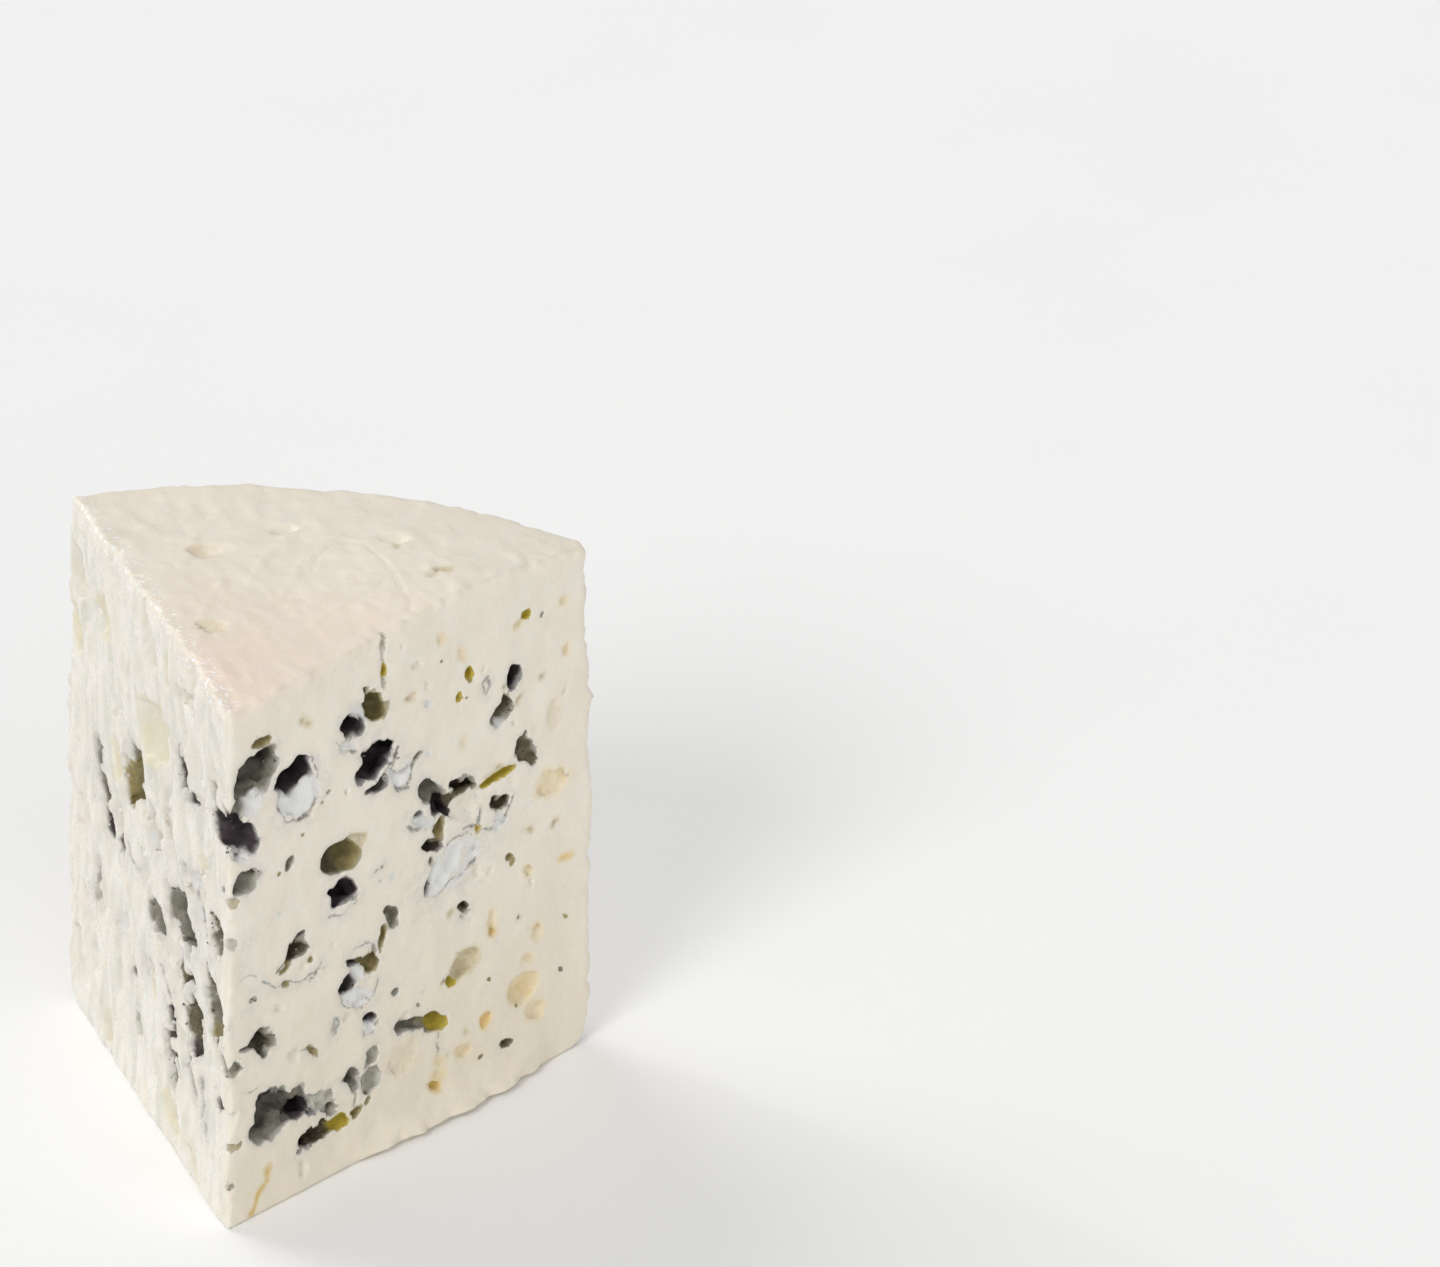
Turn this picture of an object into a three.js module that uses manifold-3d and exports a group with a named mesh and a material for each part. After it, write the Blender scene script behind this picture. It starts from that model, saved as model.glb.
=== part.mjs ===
// A wedge of blue cheese, cut from a whole wheel: one solid body of curd with mould-lined eyes.
//
// Frame: millimetres, +Z up. The wedge stands on the wheel's flat base at z = 0 and points its
// tip towards -Y, with the rind towards +Y. The origin is the centre of its bounding box, at
// the base. "Left" and "right" are the cut faces on the -X and the +X side of the tip.

import * as THREE from 'three';
import { mergeVertices } from 'three/addons/utils/BufferGeometryUtils.js';
import Module from 'manifold-3d';

const wasm = await Module();
wasm.setup();

// Driving dimensions: millimetres and degrees.
const WHEEL_RADIUS = 95;
const WHEEL_HEIGHT = 110;
const WEDGE_ANGLE = 64;
const BASE_FLARE = 0.7; // the base is this much wider than the top, in radius
const RIND_BULGE = 1.2; // the rind swells this far at mid height
const TOP_SHOULDER = 2.5; // rounding where the rind meets the top
const BASE_SHOULDER = 7; // rounding where the rind meets the base
const TOP_FALL_BACK = 2.4; // the top sinks this far from the tip to the rind
const TOP_FALL_SIDE = 1.9; // the top sinks this far over one radius towards +X
const LEFT_LEAN = 3.2; // the left cut stands out this far more at the base than at the top
const RIGHT_LEAN = -0.5; // the right cut leans the other way
const TIP_BLUNT = 0.9; // width of the worn edge at the tip
const PIERCING_RADIUS = 0.8; // the needle track that lets air into the wheel
const PIERCING_DEPTH = 16; // how far the track is open below the top
const PIERCING_PLACE = 42; // where it stands along the right cut, in per cent from the tip
const EYE_LUMP = 0.16; // how far an eye's wall strays from an even oval, as a share
const KNIFE_OVERSHOOT = 30; // how far each cutting block reaches past the wheel

// Surface resolution.
const WHEEL_SEGMENTS = 84;
const SHOULDER_STEPS = 5;
const BULGE_STEPS = 8;
const TRACK_SEGMENTS = 10;
const LARGE_EYE = 8; // an eye longer than this gets the finer ball

// The eyes of each cut face. "at" is the place on the face, in per cent of its length from the
// tip and of its height from the base. "size" is the opening's length and breadth and the depth
// that the eye reaches, in millimetres. "turn" is the length's angle above the level, in degrees.
const RIGHT_EYES = [
  // Round the tip, from the top down.
  { at: [9.5, 91], size: [4.5, 2, 3], turn: -12 },
  { at: [8, 85.5], size: [10.5, 6.5, 7], turn: 2 },
  { at: [3.5, 81], size: [5, 3.5, 4], turn: 60 },
  { at: [18, 82], size: [9, 4, 8], turn: 12 },
  { at: [2.5, 75.5], size: [10.5, 6, 9], turn: -28 },
  { at: [5, 66], size: [6.5, 4.5, 4], turn: 15 },
  // The column of eyes under the needle track.
  { at: [41, 87.5], size: [9.5, 4, 5], turn: -57 },
  { at: [34, 85.5], size: [6.5, 3.5, 7], turn: -28 },
  { at: [42.5, 79], size: [7.5, 4, 10], turn: -23 },
  { at: [40, 77], size: [7, 4, 11], turn: -40 },
  { at: [37.5, 75.5], size: [5, 2.5, 7], turn: 0 },
  { at: [41, 72], size: [5.5, 2.2, 3.5], turn: 4 },
  { at: [31.5, 61.5], size: [10.5, 6.5, 5], turn: 7 },
  { at: [31.5, 54.5], size: [7, 4.5, 8], turn: -34 },
  // The cluster in the middle and the small eyes above it.
  { at: [55.5, 65.5], size: [7, 4.5, 4], turn: -39 },
  { at: [65, 63.5], size: [8, 4, 5], turn: -22 },
  { at: [59.5, 62], size: [5, 3, 6], turn: -25 },
  { at: [59, 57.5], size: [4.5, 2, 3], turn: 83 },
  { at: [56.5, 54.5], size: [5, 2.2, 5], turn: -20 },
  { at: [55.5, 47], size: [3, 2, 3], turn: 82 },
  { at: [75, 62], size: [8.5, 1.8, 2.5], turn: 5 },
  { at: [76, 56.5], size: [5, 2.6, 4], turn: -16 },
  { at: [82.5, 65], size: [6.5, 4, 4], turn: -56 },
  { at: [79, 80], size: [4.5, 2.8, 6], turn: 78 },
  { at: [76, 74.5], size: [6, 4, 4], turn: 32 },
  { at: [67, 84.5], size: [2.6, 2.2, 2.5], turn: -66 },
  { at: [82.5, 90.5], size: [3, 2, 2.5], turn: -17 },
  // Below the middle.
  { at: [18, 47.5], size: [5, 4, 5], turn: 23 },
  { at: [45.5, 44.5], size: [4.5, 2.6, 4], turn: -75 },
  { at: [43, 42], size: [4.2, 2.2, 2.5], turn: 81 },
  { at: [39.5, 38.5], size: [4.5, 3, 4], turn: -15 },
  { at: [33, 36], size: [4, 3.4, 7], turn: -19 },
  { at: [39.5, 27.5], size: [3.2, 1.8, 4], turn: -16 },
  { at: [66, 39.5], size: [3.2, 1.8, 3], turn: -29 },
  { at: [66.5, 28.5], size: [7.5, 4.5, 3], turn: 20 },
  { at: [52, 22], size: [9, 2.8, 4], turn: -10 },
  { at: [58.5, 20], size: [5, 3.8, 3.5], turn: -41 },
  { at: [83.5, 17.5], size: [7.5, 5.5, 2.5], turn: -17 },
  { at: [72.5, 15], size: [2.8, 2.4, 2], turn: -66 },
  { at: [66.5, 11.5], size: [4, 2.5, 2], turn: -18 },
  { at: [58.5, 7], size: [2.8, 1.5, 2], turn: -24 },
  { at: [79, 8], size: [3, 1.4, 2.5], turn: -14 },
  // Round the tip, near the base.
  { at: [10, 33], size: [7, 5, 5], turn: -52 },
  { at: [34.5, 17], size: [5, 3, 4], turn: -34 },
  { at: [40, 20], size: [4.5, 3.4, 3.5], turn: 42 },
  { at: [40, 14.5], size: [5.5, 4, 3], turn: 51 },
  { at: [11, 20.5], size: [6.5, 4.5, 8], turn: 73 },
  { at: [11.5, 16.5], size: [9, 4.5, 5], turn: -10 },
  { at: [18.5, 19.5], size: [5, 4.5, 5], turn: -71 },
  { at: [21.5, 16], size: [4.5, 3.8, 7], turn: 10 },
  { at: [27, 15.5], size: [8, 4, 3], turn: -17 },
  { at: [25, 10], size: [7.5, 4.5, 7], turn: -2 },
  { at: [31, 9.5], size: [5, 3.2, 3], turn: -1 },
];
const LEFT_EYES = [
  // The upper half, from the rind to the tip.
  { at: [78.5, 84], size: [10.5, 4, 2.5], turn: -15 },
  { at: [49.5, 75], size: [10.5, 4.5, 3.5], turn: -15 },
  { at: [24.5, 91], size: [9.5, 2, 2], turn: -8 },
  { at: [28, 75.5], size: [7.5, 3.8, 6], turn: 17 },
  { at: [81.5, 54.5], size: [7.5, 5, 6], turn: 85 },
  { at: [60, 61.5], size: [10.5, 6, 6], turn: -49 },
  { at: [45.5, 56.5], size: [7, 4.3, 5], turn: 10 },
  { at: [8.5, 54], size: [5.6, 3.8, 4], turn: -8 },
  // The lower half, from the rind to the tip.
  { at: [76.5, 45.5], size: [5.2, 2.8, 6], turn: -12 },
  { at: [67, 44.5], size: [4.6, 2.2, 4], turn: -12 },
  { at: [46.5, 40], size: [6.8, 3.3, 5], turn: -6 },
  { at: [30, 47.5], size: [10.5, 6.7, 8], turn: -10 },
  { at: [31, 37.5], size: [9, 3.8, 5], turn: -21 },
  { at: [10, 40.5], size: [7.3, 4.4, 5], turn: -30 },
  { at: [22.5, 32], size: [9, 4, 6], turn: -24 },
  { at: [21, 28], size: [6.5, 2, 5], turn: -40 },
  { at: [59.5, 24], size: [3.2, 1.6, 3], turn: -22 },
  { at: [56.5, 15], size: [4, 2.8, 2], turn: 2 },
  { at: [36, 24.5], size: [2.8, 2.4, 3], turn: 61 },
  { at: [36, 19], size: [3.7, 3.2, 4], turn: 61 },
  { at: [22.5, 19.5], size: [5.8, 3, 5], turn: 23 },
  { at: [35, 7], size: [8.5, 4.6, 2.5], turn: -4 },
];
// Shallow pits of the top. "at" is the per cent of the way from the tip to the rind, and of the
// way from the middle line to the right cut (or, below zero, to the left cut).
const TOP_EYES = [
  { at: [69, -55], size: [5.3, 4.5, 1.6] },
  { at: [78, 35], size: [5.3, 2.9, 1.6] },
  { at: [78, -17], size: [4.4, 2.6, 1.4] },
  { at: [36, -60], size: [5.3, 3.2, 1.6] },
  { at: [69, 75], size: [3.2, 1.6, 1.2] },
];

// A closed BufferGeometry as a manifold solid.
function toSolid(geometry) {
  const bare = geometry.clone();
  bare.deleteAttribute('normal');
  bare.deleteAttribute('uv');
  const merged = mergeVertices(bare, 1e-4);
  return new wasm.Manifold(new wasm.Mesh({
    numProp: 3,
    vertProperties: merged.attributes.position.array,
    triVerts: new Uint32Array(merged.index.array),
  }));
}

function toGeometry(solid) {
  const mesh = solid.getMesh();
  const geometry = new THREE.BufferGeometry();
  geometry.setAttribute('position', new THREE.BufferAttribute(mesh.vertProperties, 3));
  geometry.setIndex(new THREE.BufferAttribute(mesh.triVerts, 1));
  return geometry;
}

// The wheel's radius at a height, with the flare of its base and the swell of its rind.
function rindRadius(z) {
  const share = z / WHEEL_HEIGHT;
  return WHEEL_RADIUS + BASE_FLARE * (1 - share) + RIND_BULGE * Math.sin(Math.PI * share);
}

// The outline from the axis at the base, round both shoulders, to the axis at the top.
function wheelOutline() {
  const points = [new THREE.Vector2(0, 0)];
  for (let i = 0; i <= SHOULDER_STEPS; i += 1) {
    const turn = (Math.PI / 2) * (i / SHOULDER_STEPS);
    const z = BASE_SHOULDER * (1 - Math.cos(turn));
    points.push(new THREE.Vector2(rindRadius(z) - BASE_SHOULDER * (1 - Math.sin(turn)), z));
  }
  const low = BASE_SHOULDER;
  const high = WHEEL_HEIGHT - TOP_SHOULDER;
  for (let i = 1; i < BULGE_STEPS; i += 1) {
    const z = THREE.MathUtils.lerp(low, high, i / BULGE_STEPS);
    points.push(new THREE.Vector2(rindRadius(z), z));
  }
  for (let i = 0; i <= SHOULDER_STEPS; i += 1) {
    const turn = (Math.PI / 2) * (i / SHOULDER_STEPS);
    const z = high + TOP_SHOULDER * Math.sin(turn);
    points.push(new THREE.Vector2(rindRadius(z) - TOP_SHOULDER * (1 - Math.cos(turn)), z));
  }
  points.push(new THREE.Vector2(0, WHEEL_HEIGHT));
  return points;
}

// How far the top has sunk above a place on the base.
function topFall(x, y) {
  return (TOP_FALL_SIDE * x + TOP_FALL_BACK * y) / WHEEL_RADIUS;
}

// The whole wheel, its axis on Z, squeezed so that its top is not quite level.
function makeWheel() {
  const wheel = new THREE.LatheGeometry(wheelOutline(), WHEEL_SEGMENTS);
  wheel.rotateX(Math.PI / 2);
  const place = wheel.attributes.position;
  for (let i = 0; i < place.count; i += 1) {
    const fall = topFall(place.getX(i), place.getY(i));
    place.setZ(i, place.getZ(i) * (1 - fall / WHEEL_HEIGHT));
  }
  return toSolid(wheel);
}

// The two cut faces: "along" runs level from the tip to the rind, "out" points out of the cheese.
function cutFace(side, lean) {
  const half = THREE.MathUtils.degToRad(WEDGE_ANGLE / 2);
  return {
    along: new THREE.Vector3(side * Math.sin(half), Math.cos(half), 0),
    out: new THREE.Vector3(side * Math.cos(half), -Math.sin(half), 0),
    lean,
  };
}
const LEFT_FACE = cutFace(-1, LEFT_LEAN);
const RIGHT_FACE = cutFace(1, RIGHT_LEAN);

// Where the two leaning cuts meet at a height.
function tipAt(z) {
  const share = 1 - z / WHEEL_HEIGHT;
  const a = LEFT_FACE.out;
  const b = RIGHT_FACE.out;
  const left = LEFT_FACE.lean * share;
  const right = RIGHT_FACE.lean * share;
  const area = a.x * b.y - a.y * b.x;
  return new THREE.Vector3((left * b.y - right * a.y) / area, (right * a.x - left * b.x) / area, z);
}

// A block that takes away all that lies outside a plane, given by a point and its outward normal.
function knifeBlock(point, normal) {
  const span = 2 * (WHEEL_RADIUS + WHEEL_HEIGHT) + KNIFE_OVERSHOOT;
  const block = new THREE.BoxGeometry(span, span, span);
  block.translate(0, 0, span / 2);
  const turn = new THREE.Quaternion().setFromUnitVectors(new THREE.Vector3(0, 0, 1), normal);
  block.applyQuaternion(turn);
  block.translate(point.x, point.y, point.z);
  return toSolid(block);
}

// The side of the knife that takes the neighbour's cheese away.
function cutBlock(face) {
  const foot = face.out.clone().multiplyScalar(face.lean);
  const rise = new THREE.Vector3(0, 0, WHEEL_HEIGHT).sub(foot);
  return knifeBlock(foot, towards(face.out, rise.cross(face.along)));
}

// The same line as "line", made a unit long and pointing the way of "way".
function towards(way, line) {
  return line.normalize().multiplyScalar(Math.sign(line.dot(way)));
}

// The worn tip: a narrow flat where the two cuts would meet in a sharp edge.
function tipBlock() {
  const half = THREE.MathUtils.degToRad(WEDGE_ANGLE / 2);
  const back = new THREE.Vector3(0, TIP_BLUNT / 2 / Math.tan(half), 0);
  const foot = tipAt(0).add(back);
  const rise = tipAt(WHEEL_HEIGHT).add(back).sub(foot);
  return knifeBlock(foot, towards(new THREE.Vector3(0, -1, 0), rise.cross(new THREE.Vector3(1, 0, 0))));
}

// A lumpy round body for an eye, with a wall that strays from an even oval in its own way.
function lumpyBall(detail, phase) {
  const ball = new THREE.IcosahedronGeometry(0.5, detail);
  const place = ball.attributes.position;
  const p = new THREE.Vector3();
  for (let i = 0; i < place.count; i += 1) {
    p.fromBufferAttribute(place, i);
    const wave = Math.sin(5 * p.x + phase) + Math.sin(6 * p.y + 2.1 * phase)
      + Math.sin(7 * p.z + 3.7 * phase);
    p.multiplyScalar(1 + (EYE_LUMP * wave) / 3);
    place.setXYZ(i, p.x, p.y, p.z);
  }
  return ball;
}

// A lumpy ball of an eye's own length, breadth and depth, lying with its depth along Z.
function eyeBody(eye, index) {
  const [length, breadth, depth] = eye.size;
  const ball = lumpyBall(length > LARGE_EYE ? 2 : 1, index);
  return ball.scale(length, breadth, 2 * depth);
}

// An eye on a cut face, turned in the face and set in its place. Its own X runs towards the
// right as the face is seen from outside, which is along the right face and against the left.
function faceEye(face, eye, index) {
  const up = new THREE.Vector3(0, 0, 1);
  const rightward = up.clone().cross(face.out);
  const handed = Math.sign(rightward.dot(face.along));
  const body = eyeBody(eye, index).rotateZ(handed * THREE.MathUtils.degToRad(eye.turn));
  body.applyMatrix4(new THREE.Matrix4().makeBasis(rightward, up, face.out));
  const centre = tipAt((eye.at[1] / 100) * WHEEL_HEIGHT);
  centre.addScaledVector(face.along, (eye.at[0] / 100) * WHEEL_RADIUS);
  return toSolid(body.translate(centre.x, centre.y, centre.z));
}

function topEye(eye, index) {
  const reach = (eye.at[0] / 100) * WHEEL_RADIUS;
  const turn = THREE.MathUtils.degToRad((eye.at[1] / 100) * (WEDGE_ANGLE / 2));
  const x = reach * Math.sin(turn);
  const y = reach * Math.cos(turn);
  return toSolid(eyeBody(eye, index).translate(x, y, WHEEL_HEIGHT - topFall(x, y)));
}

// The needle track: a thin bore just under the right cut, open at the top.
function needleTrack() {
  const above = TOP_FALL_SIDE + TOP_FALL_BACK;
  const length = PIERCING_DEPTH + above;
  const track = new THREE.CylinderGeometry(
    PIERCING_RADIUS, PIERCING_RADIUS / 2, length, TRACK_SEGMENTS);
  track.rotateX(Math.PI / 2);
  const centre = tipAt(WHEEL_HEIGHT).addScaledVector(
    RIGHT_FACE.along, (PIERCING_PLACE / 100) * WHEEL_RADIUS);
  centre.addScaledVector(RIGHT_FACE.out, -PIERCING_RADIUS / 2);
  return toSolid(track.translate(centre.x, centre.y, WHEEL_HEIGHT + above - length / 2));
}

// The wheel, less what the knife, the needle and the mould have taken away.
function makeWedge() {
  const taken = [
    cutBlock(LEFT_FACE), cutBlock(RIGHT_FACE), tipBlock(), needleTrack(),
    ...RIGHT_EYES.map((eye, i) => faceEye(RIGHT_FACE, eye, i)),
    ...LEFT_EYES.map((eye, i) => faceEye(LEFT_FACE, eye, i)),
    ...TOP_EYES.map(topEye),
  ];
  return taken.reduce((rest, piece) => rest.subtract(piece), makeWheel());
}

// Moves the origin to the centre of the bounding box, at the base.
function centreOnBase(geometry) {
  geometry.computeBoundingBox();
  const box = geometry.boundingBox;
  geometry.translate(-(box.min.x + box.max.x) / 2, -(box.min.y + box.max.y) / 2, -box.min.z);
  return geometry;
}

const curd = new THREE.MeshStandardMaterial({ color: 0xe3dccb, roughness: 0.45, metalness: 0 });
const cheeseWedge = new THREE.Mesh(centreOnBase(toGeometry(makeWedge())), curd);
cheeseWedge.name = 'cheese_wedge';

const group = new THREE.Group();
group.add(cheeseWedge);

export default group;
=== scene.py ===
"""A wedge of blue cheese standing on a pale table.

The wedge is one piece of curd. Its skin and the eyes in it are carved as a field of distances on a fine
grid, turned into one closed mesh, and coloured by attributes that say where mould lines an eye, where it
tints the curd, and which side of the wedge a place belongs to. Crumbs of curd and tufts of mould are
scattered over it with Geometry Nodes.

Sizes in the classes are millimetres, as on a workbench. Meshes are metres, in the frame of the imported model.
"""

import logging
import math
from collections.abc import Sequence
from dataclasses import dataclass, field
from enum import Enum

import bpy
import numpy as np
import openvdb
from mathutils import Matrix, Vector


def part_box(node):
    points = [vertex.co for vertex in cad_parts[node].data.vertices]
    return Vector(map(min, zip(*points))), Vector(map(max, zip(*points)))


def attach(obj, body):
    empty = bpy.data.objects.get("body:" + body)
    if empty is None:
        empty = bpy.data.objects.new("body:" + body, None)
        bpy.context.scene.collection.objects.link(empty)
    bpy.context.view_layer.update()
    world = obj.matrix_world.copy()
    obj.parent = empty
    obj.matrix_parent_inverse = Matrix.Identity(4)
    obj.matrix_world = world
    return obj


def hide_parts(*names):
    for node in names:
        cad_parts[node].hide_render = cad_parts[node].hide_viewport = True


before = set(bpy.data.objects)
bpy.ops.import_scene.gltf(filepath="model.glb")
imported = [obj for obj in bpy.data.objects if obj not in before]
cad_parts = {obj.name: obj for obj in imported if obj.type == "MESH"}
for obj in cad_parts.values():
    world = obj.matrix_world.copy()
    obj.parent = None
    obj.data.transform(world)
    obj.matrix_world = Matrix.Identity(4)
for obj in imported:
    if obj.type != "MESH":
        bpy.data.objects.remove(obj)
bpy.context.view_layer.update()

LOG = logging.getLogger("cheese")
WEDGE_NODE = "cheese_wedge"
BODY = "root"
MM = 0.001

Array = np.ndarray
Colour = tuple[float, float, float]

# Picks the pattern of every grain.
SEED = 20
# How many places of the grid are worked out at a time.
CHUNK = 60_000
# How high the crumbling foot reaches.
FOOT_HEIGHT = 11.0
# How far the streaks of the left cut lean towards the rind for each millimetre up.
DRAG_LEAN = 0.28
# Half way from the wheel's axis to its rind.
WHEEL_MIDDLE = 47.5
# Size of a grain out of a face, for patterns that are read level with it.
LEVEL = 9.0
# How close to the topmost or foremost a vertex of the drawing has to be.
CLOSE = 0.05
# Keep a division clear of zero.
TINY = 1e-6
NOTHING = 1e-9
# Cells on each side of the skin in which the field is kept.
NARROW_BAND = 3.0
# How far red, green and blue light travel in curd, in proportion.
LIGHT_TRAVEL = (1.0, 0.72, 0.48)
# Width of the camera's sensor, in millimetres.
SENSOR = 36.0


# ---------------------------------------------------------------- small tools


def step_up(low: float, high: float, value: Array) -> Array:
    """Rises smoothly from 0 at low to 1 at high."""
    t = np.clip((value - low) / (high - low), 0.0, 1.0)
    return t * t * (3.0 - 2.0 * t)


def soft_max(a: Array, b: Array, width: float) -> Array:
    """The larger of two fields, with the fold between them rounded over a width."""
    blend = np.maximum(width - np.abs(a - b), 0.0)
    return np.maximum(a, b) + blend * blend / (4.0 * width)


@dataclass
class Grain:
    """Smooth random variation in space, the same on every run.

    Attributes:
        seed: Picks one pattern out of many.
        cells: Side of the repeating block of random values, a power of two.
    """

    seed: int
    cells: int = 64
    block: Array = field(init=False, repr=False)

    def __post_init__(self) -> None:
        """Fills the block with random values from -1 to 1."""
        random = np.random.default_rng(self.seed)
        self.block = random.uniform(-1.0, 1.0, (self.cells,) * 3).astype(np.float32)

    def at(self, x: Array, y: Array, z: Array, size: float | Sequence[float]) -> Array:
        """Samples the grain.

        Args:
            x: First coordinates, in millimetres.
            y: Second coordinates.
            z: Third coordinates.
            size: Size of one grain, the same every way or one for each axis.

        Returns:
            Values from about -1 to 1, in the shape of the coordinates.
        """
        sizes = (size,) * 3 if isinstance(size, (int, float)) else size
        mask = self.cells - 1
        lows, highs, parts = [], [], []
        for values, one, stride in zip((x, y, z), sizes, (self.cells * self.cells, self.cells, 1)):
            scaled = np.asarray(values, np.float32) / np.float32(one)
            floor = np.floor(scaled)
            rest = scaled - floor
            cell = floor.astype(np.int32)
            lows.append((cell & mask) * np.int32(stride))
            highs.append(((cell + 1) & mask) * np.int32(stride))
            parts.append(rest * rest * (3.0 - 2.0 * rest))
        u, v, w = parts
        flat = self.block.ravel()
        walls = []
        for third in (lows[2], highs[2]):
            rows = []
            for second in (lows[1], highs[1]):
                base = second + third
                start = flat.take(lows[0] + base)
                rows.append(start + (flat.take(highs[0] + base) - start) * u)
            walls.append(rows[0] + (rows[1] - rows[0]) * v)
        return walls[0] + (walls[1] - walls[0]) * w


# ------------------------------------------------------------- the wedge's form


class Side(Enum):
    """The two cut faces, by the sign of X on which they lie."""

    LEFT = -1
    RIGHT = 1


@dataclass(frozen=True)
class WedgeShape:
    """The plain form of the wedge: the workshop drawing's, with a top that swells and is worn at the tip.

    Attributes:
        axis: Where the wheel's axis stands in the frame, X and Y.
        radius: The wheel's radius, which is the length of both cuts.
        height: The height at the tip.
        angle: The angle between the cuts, in degrees.
        flare: How much wider the base is than the top, in radius.
        bulge: How far the rind swells at mid height.
        top_shoulder: Rounding of the rind's upper edge.
        base_shoulder: Rounding of the rind's lower edge.
        fall_back: How far the top sinks from the tip to the rind.
        fall_side: How far the top sinks over one radius towards +X.
        swell: How far the top swells near the middle of the right cut.
        swell_at: Where the swelling is, X and Y from the axis.
        swell_size: How far the swelling spreads.
        worn: How far the top is worn down at the tip.
        worn_size: How far from the tip it is worn.
        lean: How far each cut stands out more at the base than at the top.
    """

    axis: tuple[float, float]
    radius: float = 95.0
    height: float = 110.0
    angle: float = 64.0
    flare: float = 0.7
    bulge: float = 1.2
    top_shoulder: float = 2.5
    base_shoulder: float = 7.0
    fall_back: float = 2.4
    fall_side: float = 1.9
    swell: float = 3.4
    swell_at: tuple[float, float] = (30.0, 58.0)
    swell_size: float = 30.0
    worn: float = 1.3
    worn_size: float = 12.0
    lean: tuple[float, float] = (3.2, -0.5)

    def along(self, side: Side) -> Array:
        """The level way from the tip to the rind in a cut."""
        half = math.radians(self.angle / 2)
        return np.array([side.value * math.sin(half), math.cos(half)])

    def out(self, side: Side) -> Array:
        """The level way out of the cheese through a cut."""
        half = math.radians(self.angle / 2)
        return np.array([side.value * math.cos(half), -math.sin(half)])

    def lean_of(self, side: Side) -> float:
        """How far a cut stands out at the base."""
        return self.lean[0] if side is Side.LEFT else self.lean[1]

    def tip(self, z: Array) -> tuple[Array, Array]:
        """Where the two cuts meet at a height, from the axis."""
        share = 1.0 - np.asarray(z, np.float32) / self.height
        a, b = self.out(Side.LEFT), self.out(Side.RIGHT)
        left, right = self.lean[0] * share, self.lean[1] * share
        area = a[0] * b[1] - a[1] * b[0]
        return (left * b[1] - right * a[1]) / area, (right * a[0] - left * b[0]) / area

    def face_frame(self, side: Side, x: Array, y: Array, z: Array) -> tuple[Array, Array]:
        """Places in the terms of a cut.

        Args:
            side: The cut.
            x: X from the wheel's axis, in millimetres.
            y: Y from the wheel's axis.
            z: Height above the base.

        Returns:
            How far along the cut from the tip, and how far out of the cheese through it.
        """
        way, out = self.along(side), self.out(side)
        tip_x, tip_y = self.tip(z)
        along = (x - tip_x) * way[0] + (y - tip_y) * way[1]
        proud = x * out[0] + y * out[1] - self.lean_of(side) * (1.0 - z / self.height)
        return along, proud

    def top_at(self, x: Array, y: Array) -> Array:
        """Height of the top above a place."""
        across, back = (x - self.swell_at[0]) / self.swell_size, (y - self.swell_at[1]) / self.swell_size
        swollen = self.swell * np.exp(-(across ** 2 + back ** 2))
        worn = self.worn * np.exp(-(x * x + y * y) / self.worn_size ** 2)
        return self.height - (self.fall_side * x + self.fall_back * y) / self.radius + swollen - worn

    def rind_at(self, z: Array) -> Array:
        """The wheel's radius at a height, before its shoulders are rounded."""
        share = np.clip(z / self.height, 0.0, 1.0)
        return self.radius + self.flare * (1.0 - share) + self.bulge * np.sin(np.pi * share)

    def rounded_side(self, beyond: Array, x: Array, y: Array, z: Array) -> Array:
        """The rind with both shoulders, and the top and base that they run into.

        Args:
            beyond: Distance outside the upright rind.
            x: X from the axis.
            y: Y from the axis.
            z: Height.

        Returns:
            Distance outside the wheel, below zero inside it.
        """
        over, under = z - self.top_at(x, y), -z
        upper = self._shoulder(beyond, over, self.top_shoulder)
        lower = self._shoulder(beyond, under, self.base_shoulder)
        return np.maximum(upper, lower)

    @staticmethod
    def _shoulder(a: Array, b: Array, radius: float) -> Array:
        """Two faces with the edge between them rounded to a radius."""
        p, q = np.maximum(a + radius, 0.0), np.maximum(b + radius, 0.0)
        return np.where((a > -radius) & (b > -radius), np.sqrt(p * p + q * q) - radius, np.maximum(a, b))


def find_axis(node: str) -> tuple[float, float]:
    """Finds the wheel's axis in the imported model: it runs through the middle of the blunt tip, at the top.

    Args:
        node: Name of the wedge's node.

    Returns:
        X and Y of the axis, in millimetres.
    """
    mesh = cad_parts[node].data
    place = np.empty(len(mesh.vertices) * 3, np.float32)
    mesh.vertices.foreach_get("co", place)
    place = place.reshape(-1, 3) / MM
    top = place[place[:, 2] > place[:, 2].max() - CLOSE]
    foremost = top[top[:, 1] < top[:, 1].min() + CLOSE]
    blunt = foremost[:, 0].max() - foremost[:, 0].min()
    back = blunt / 2 / math.tan(math.radians(WedgeShape.angle / 2))
    return float(foremost[:, 0].mean()), float(foremost[:, 1].mean() - back)


# --------------------------------------------------------------- eyes and veins


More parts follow.
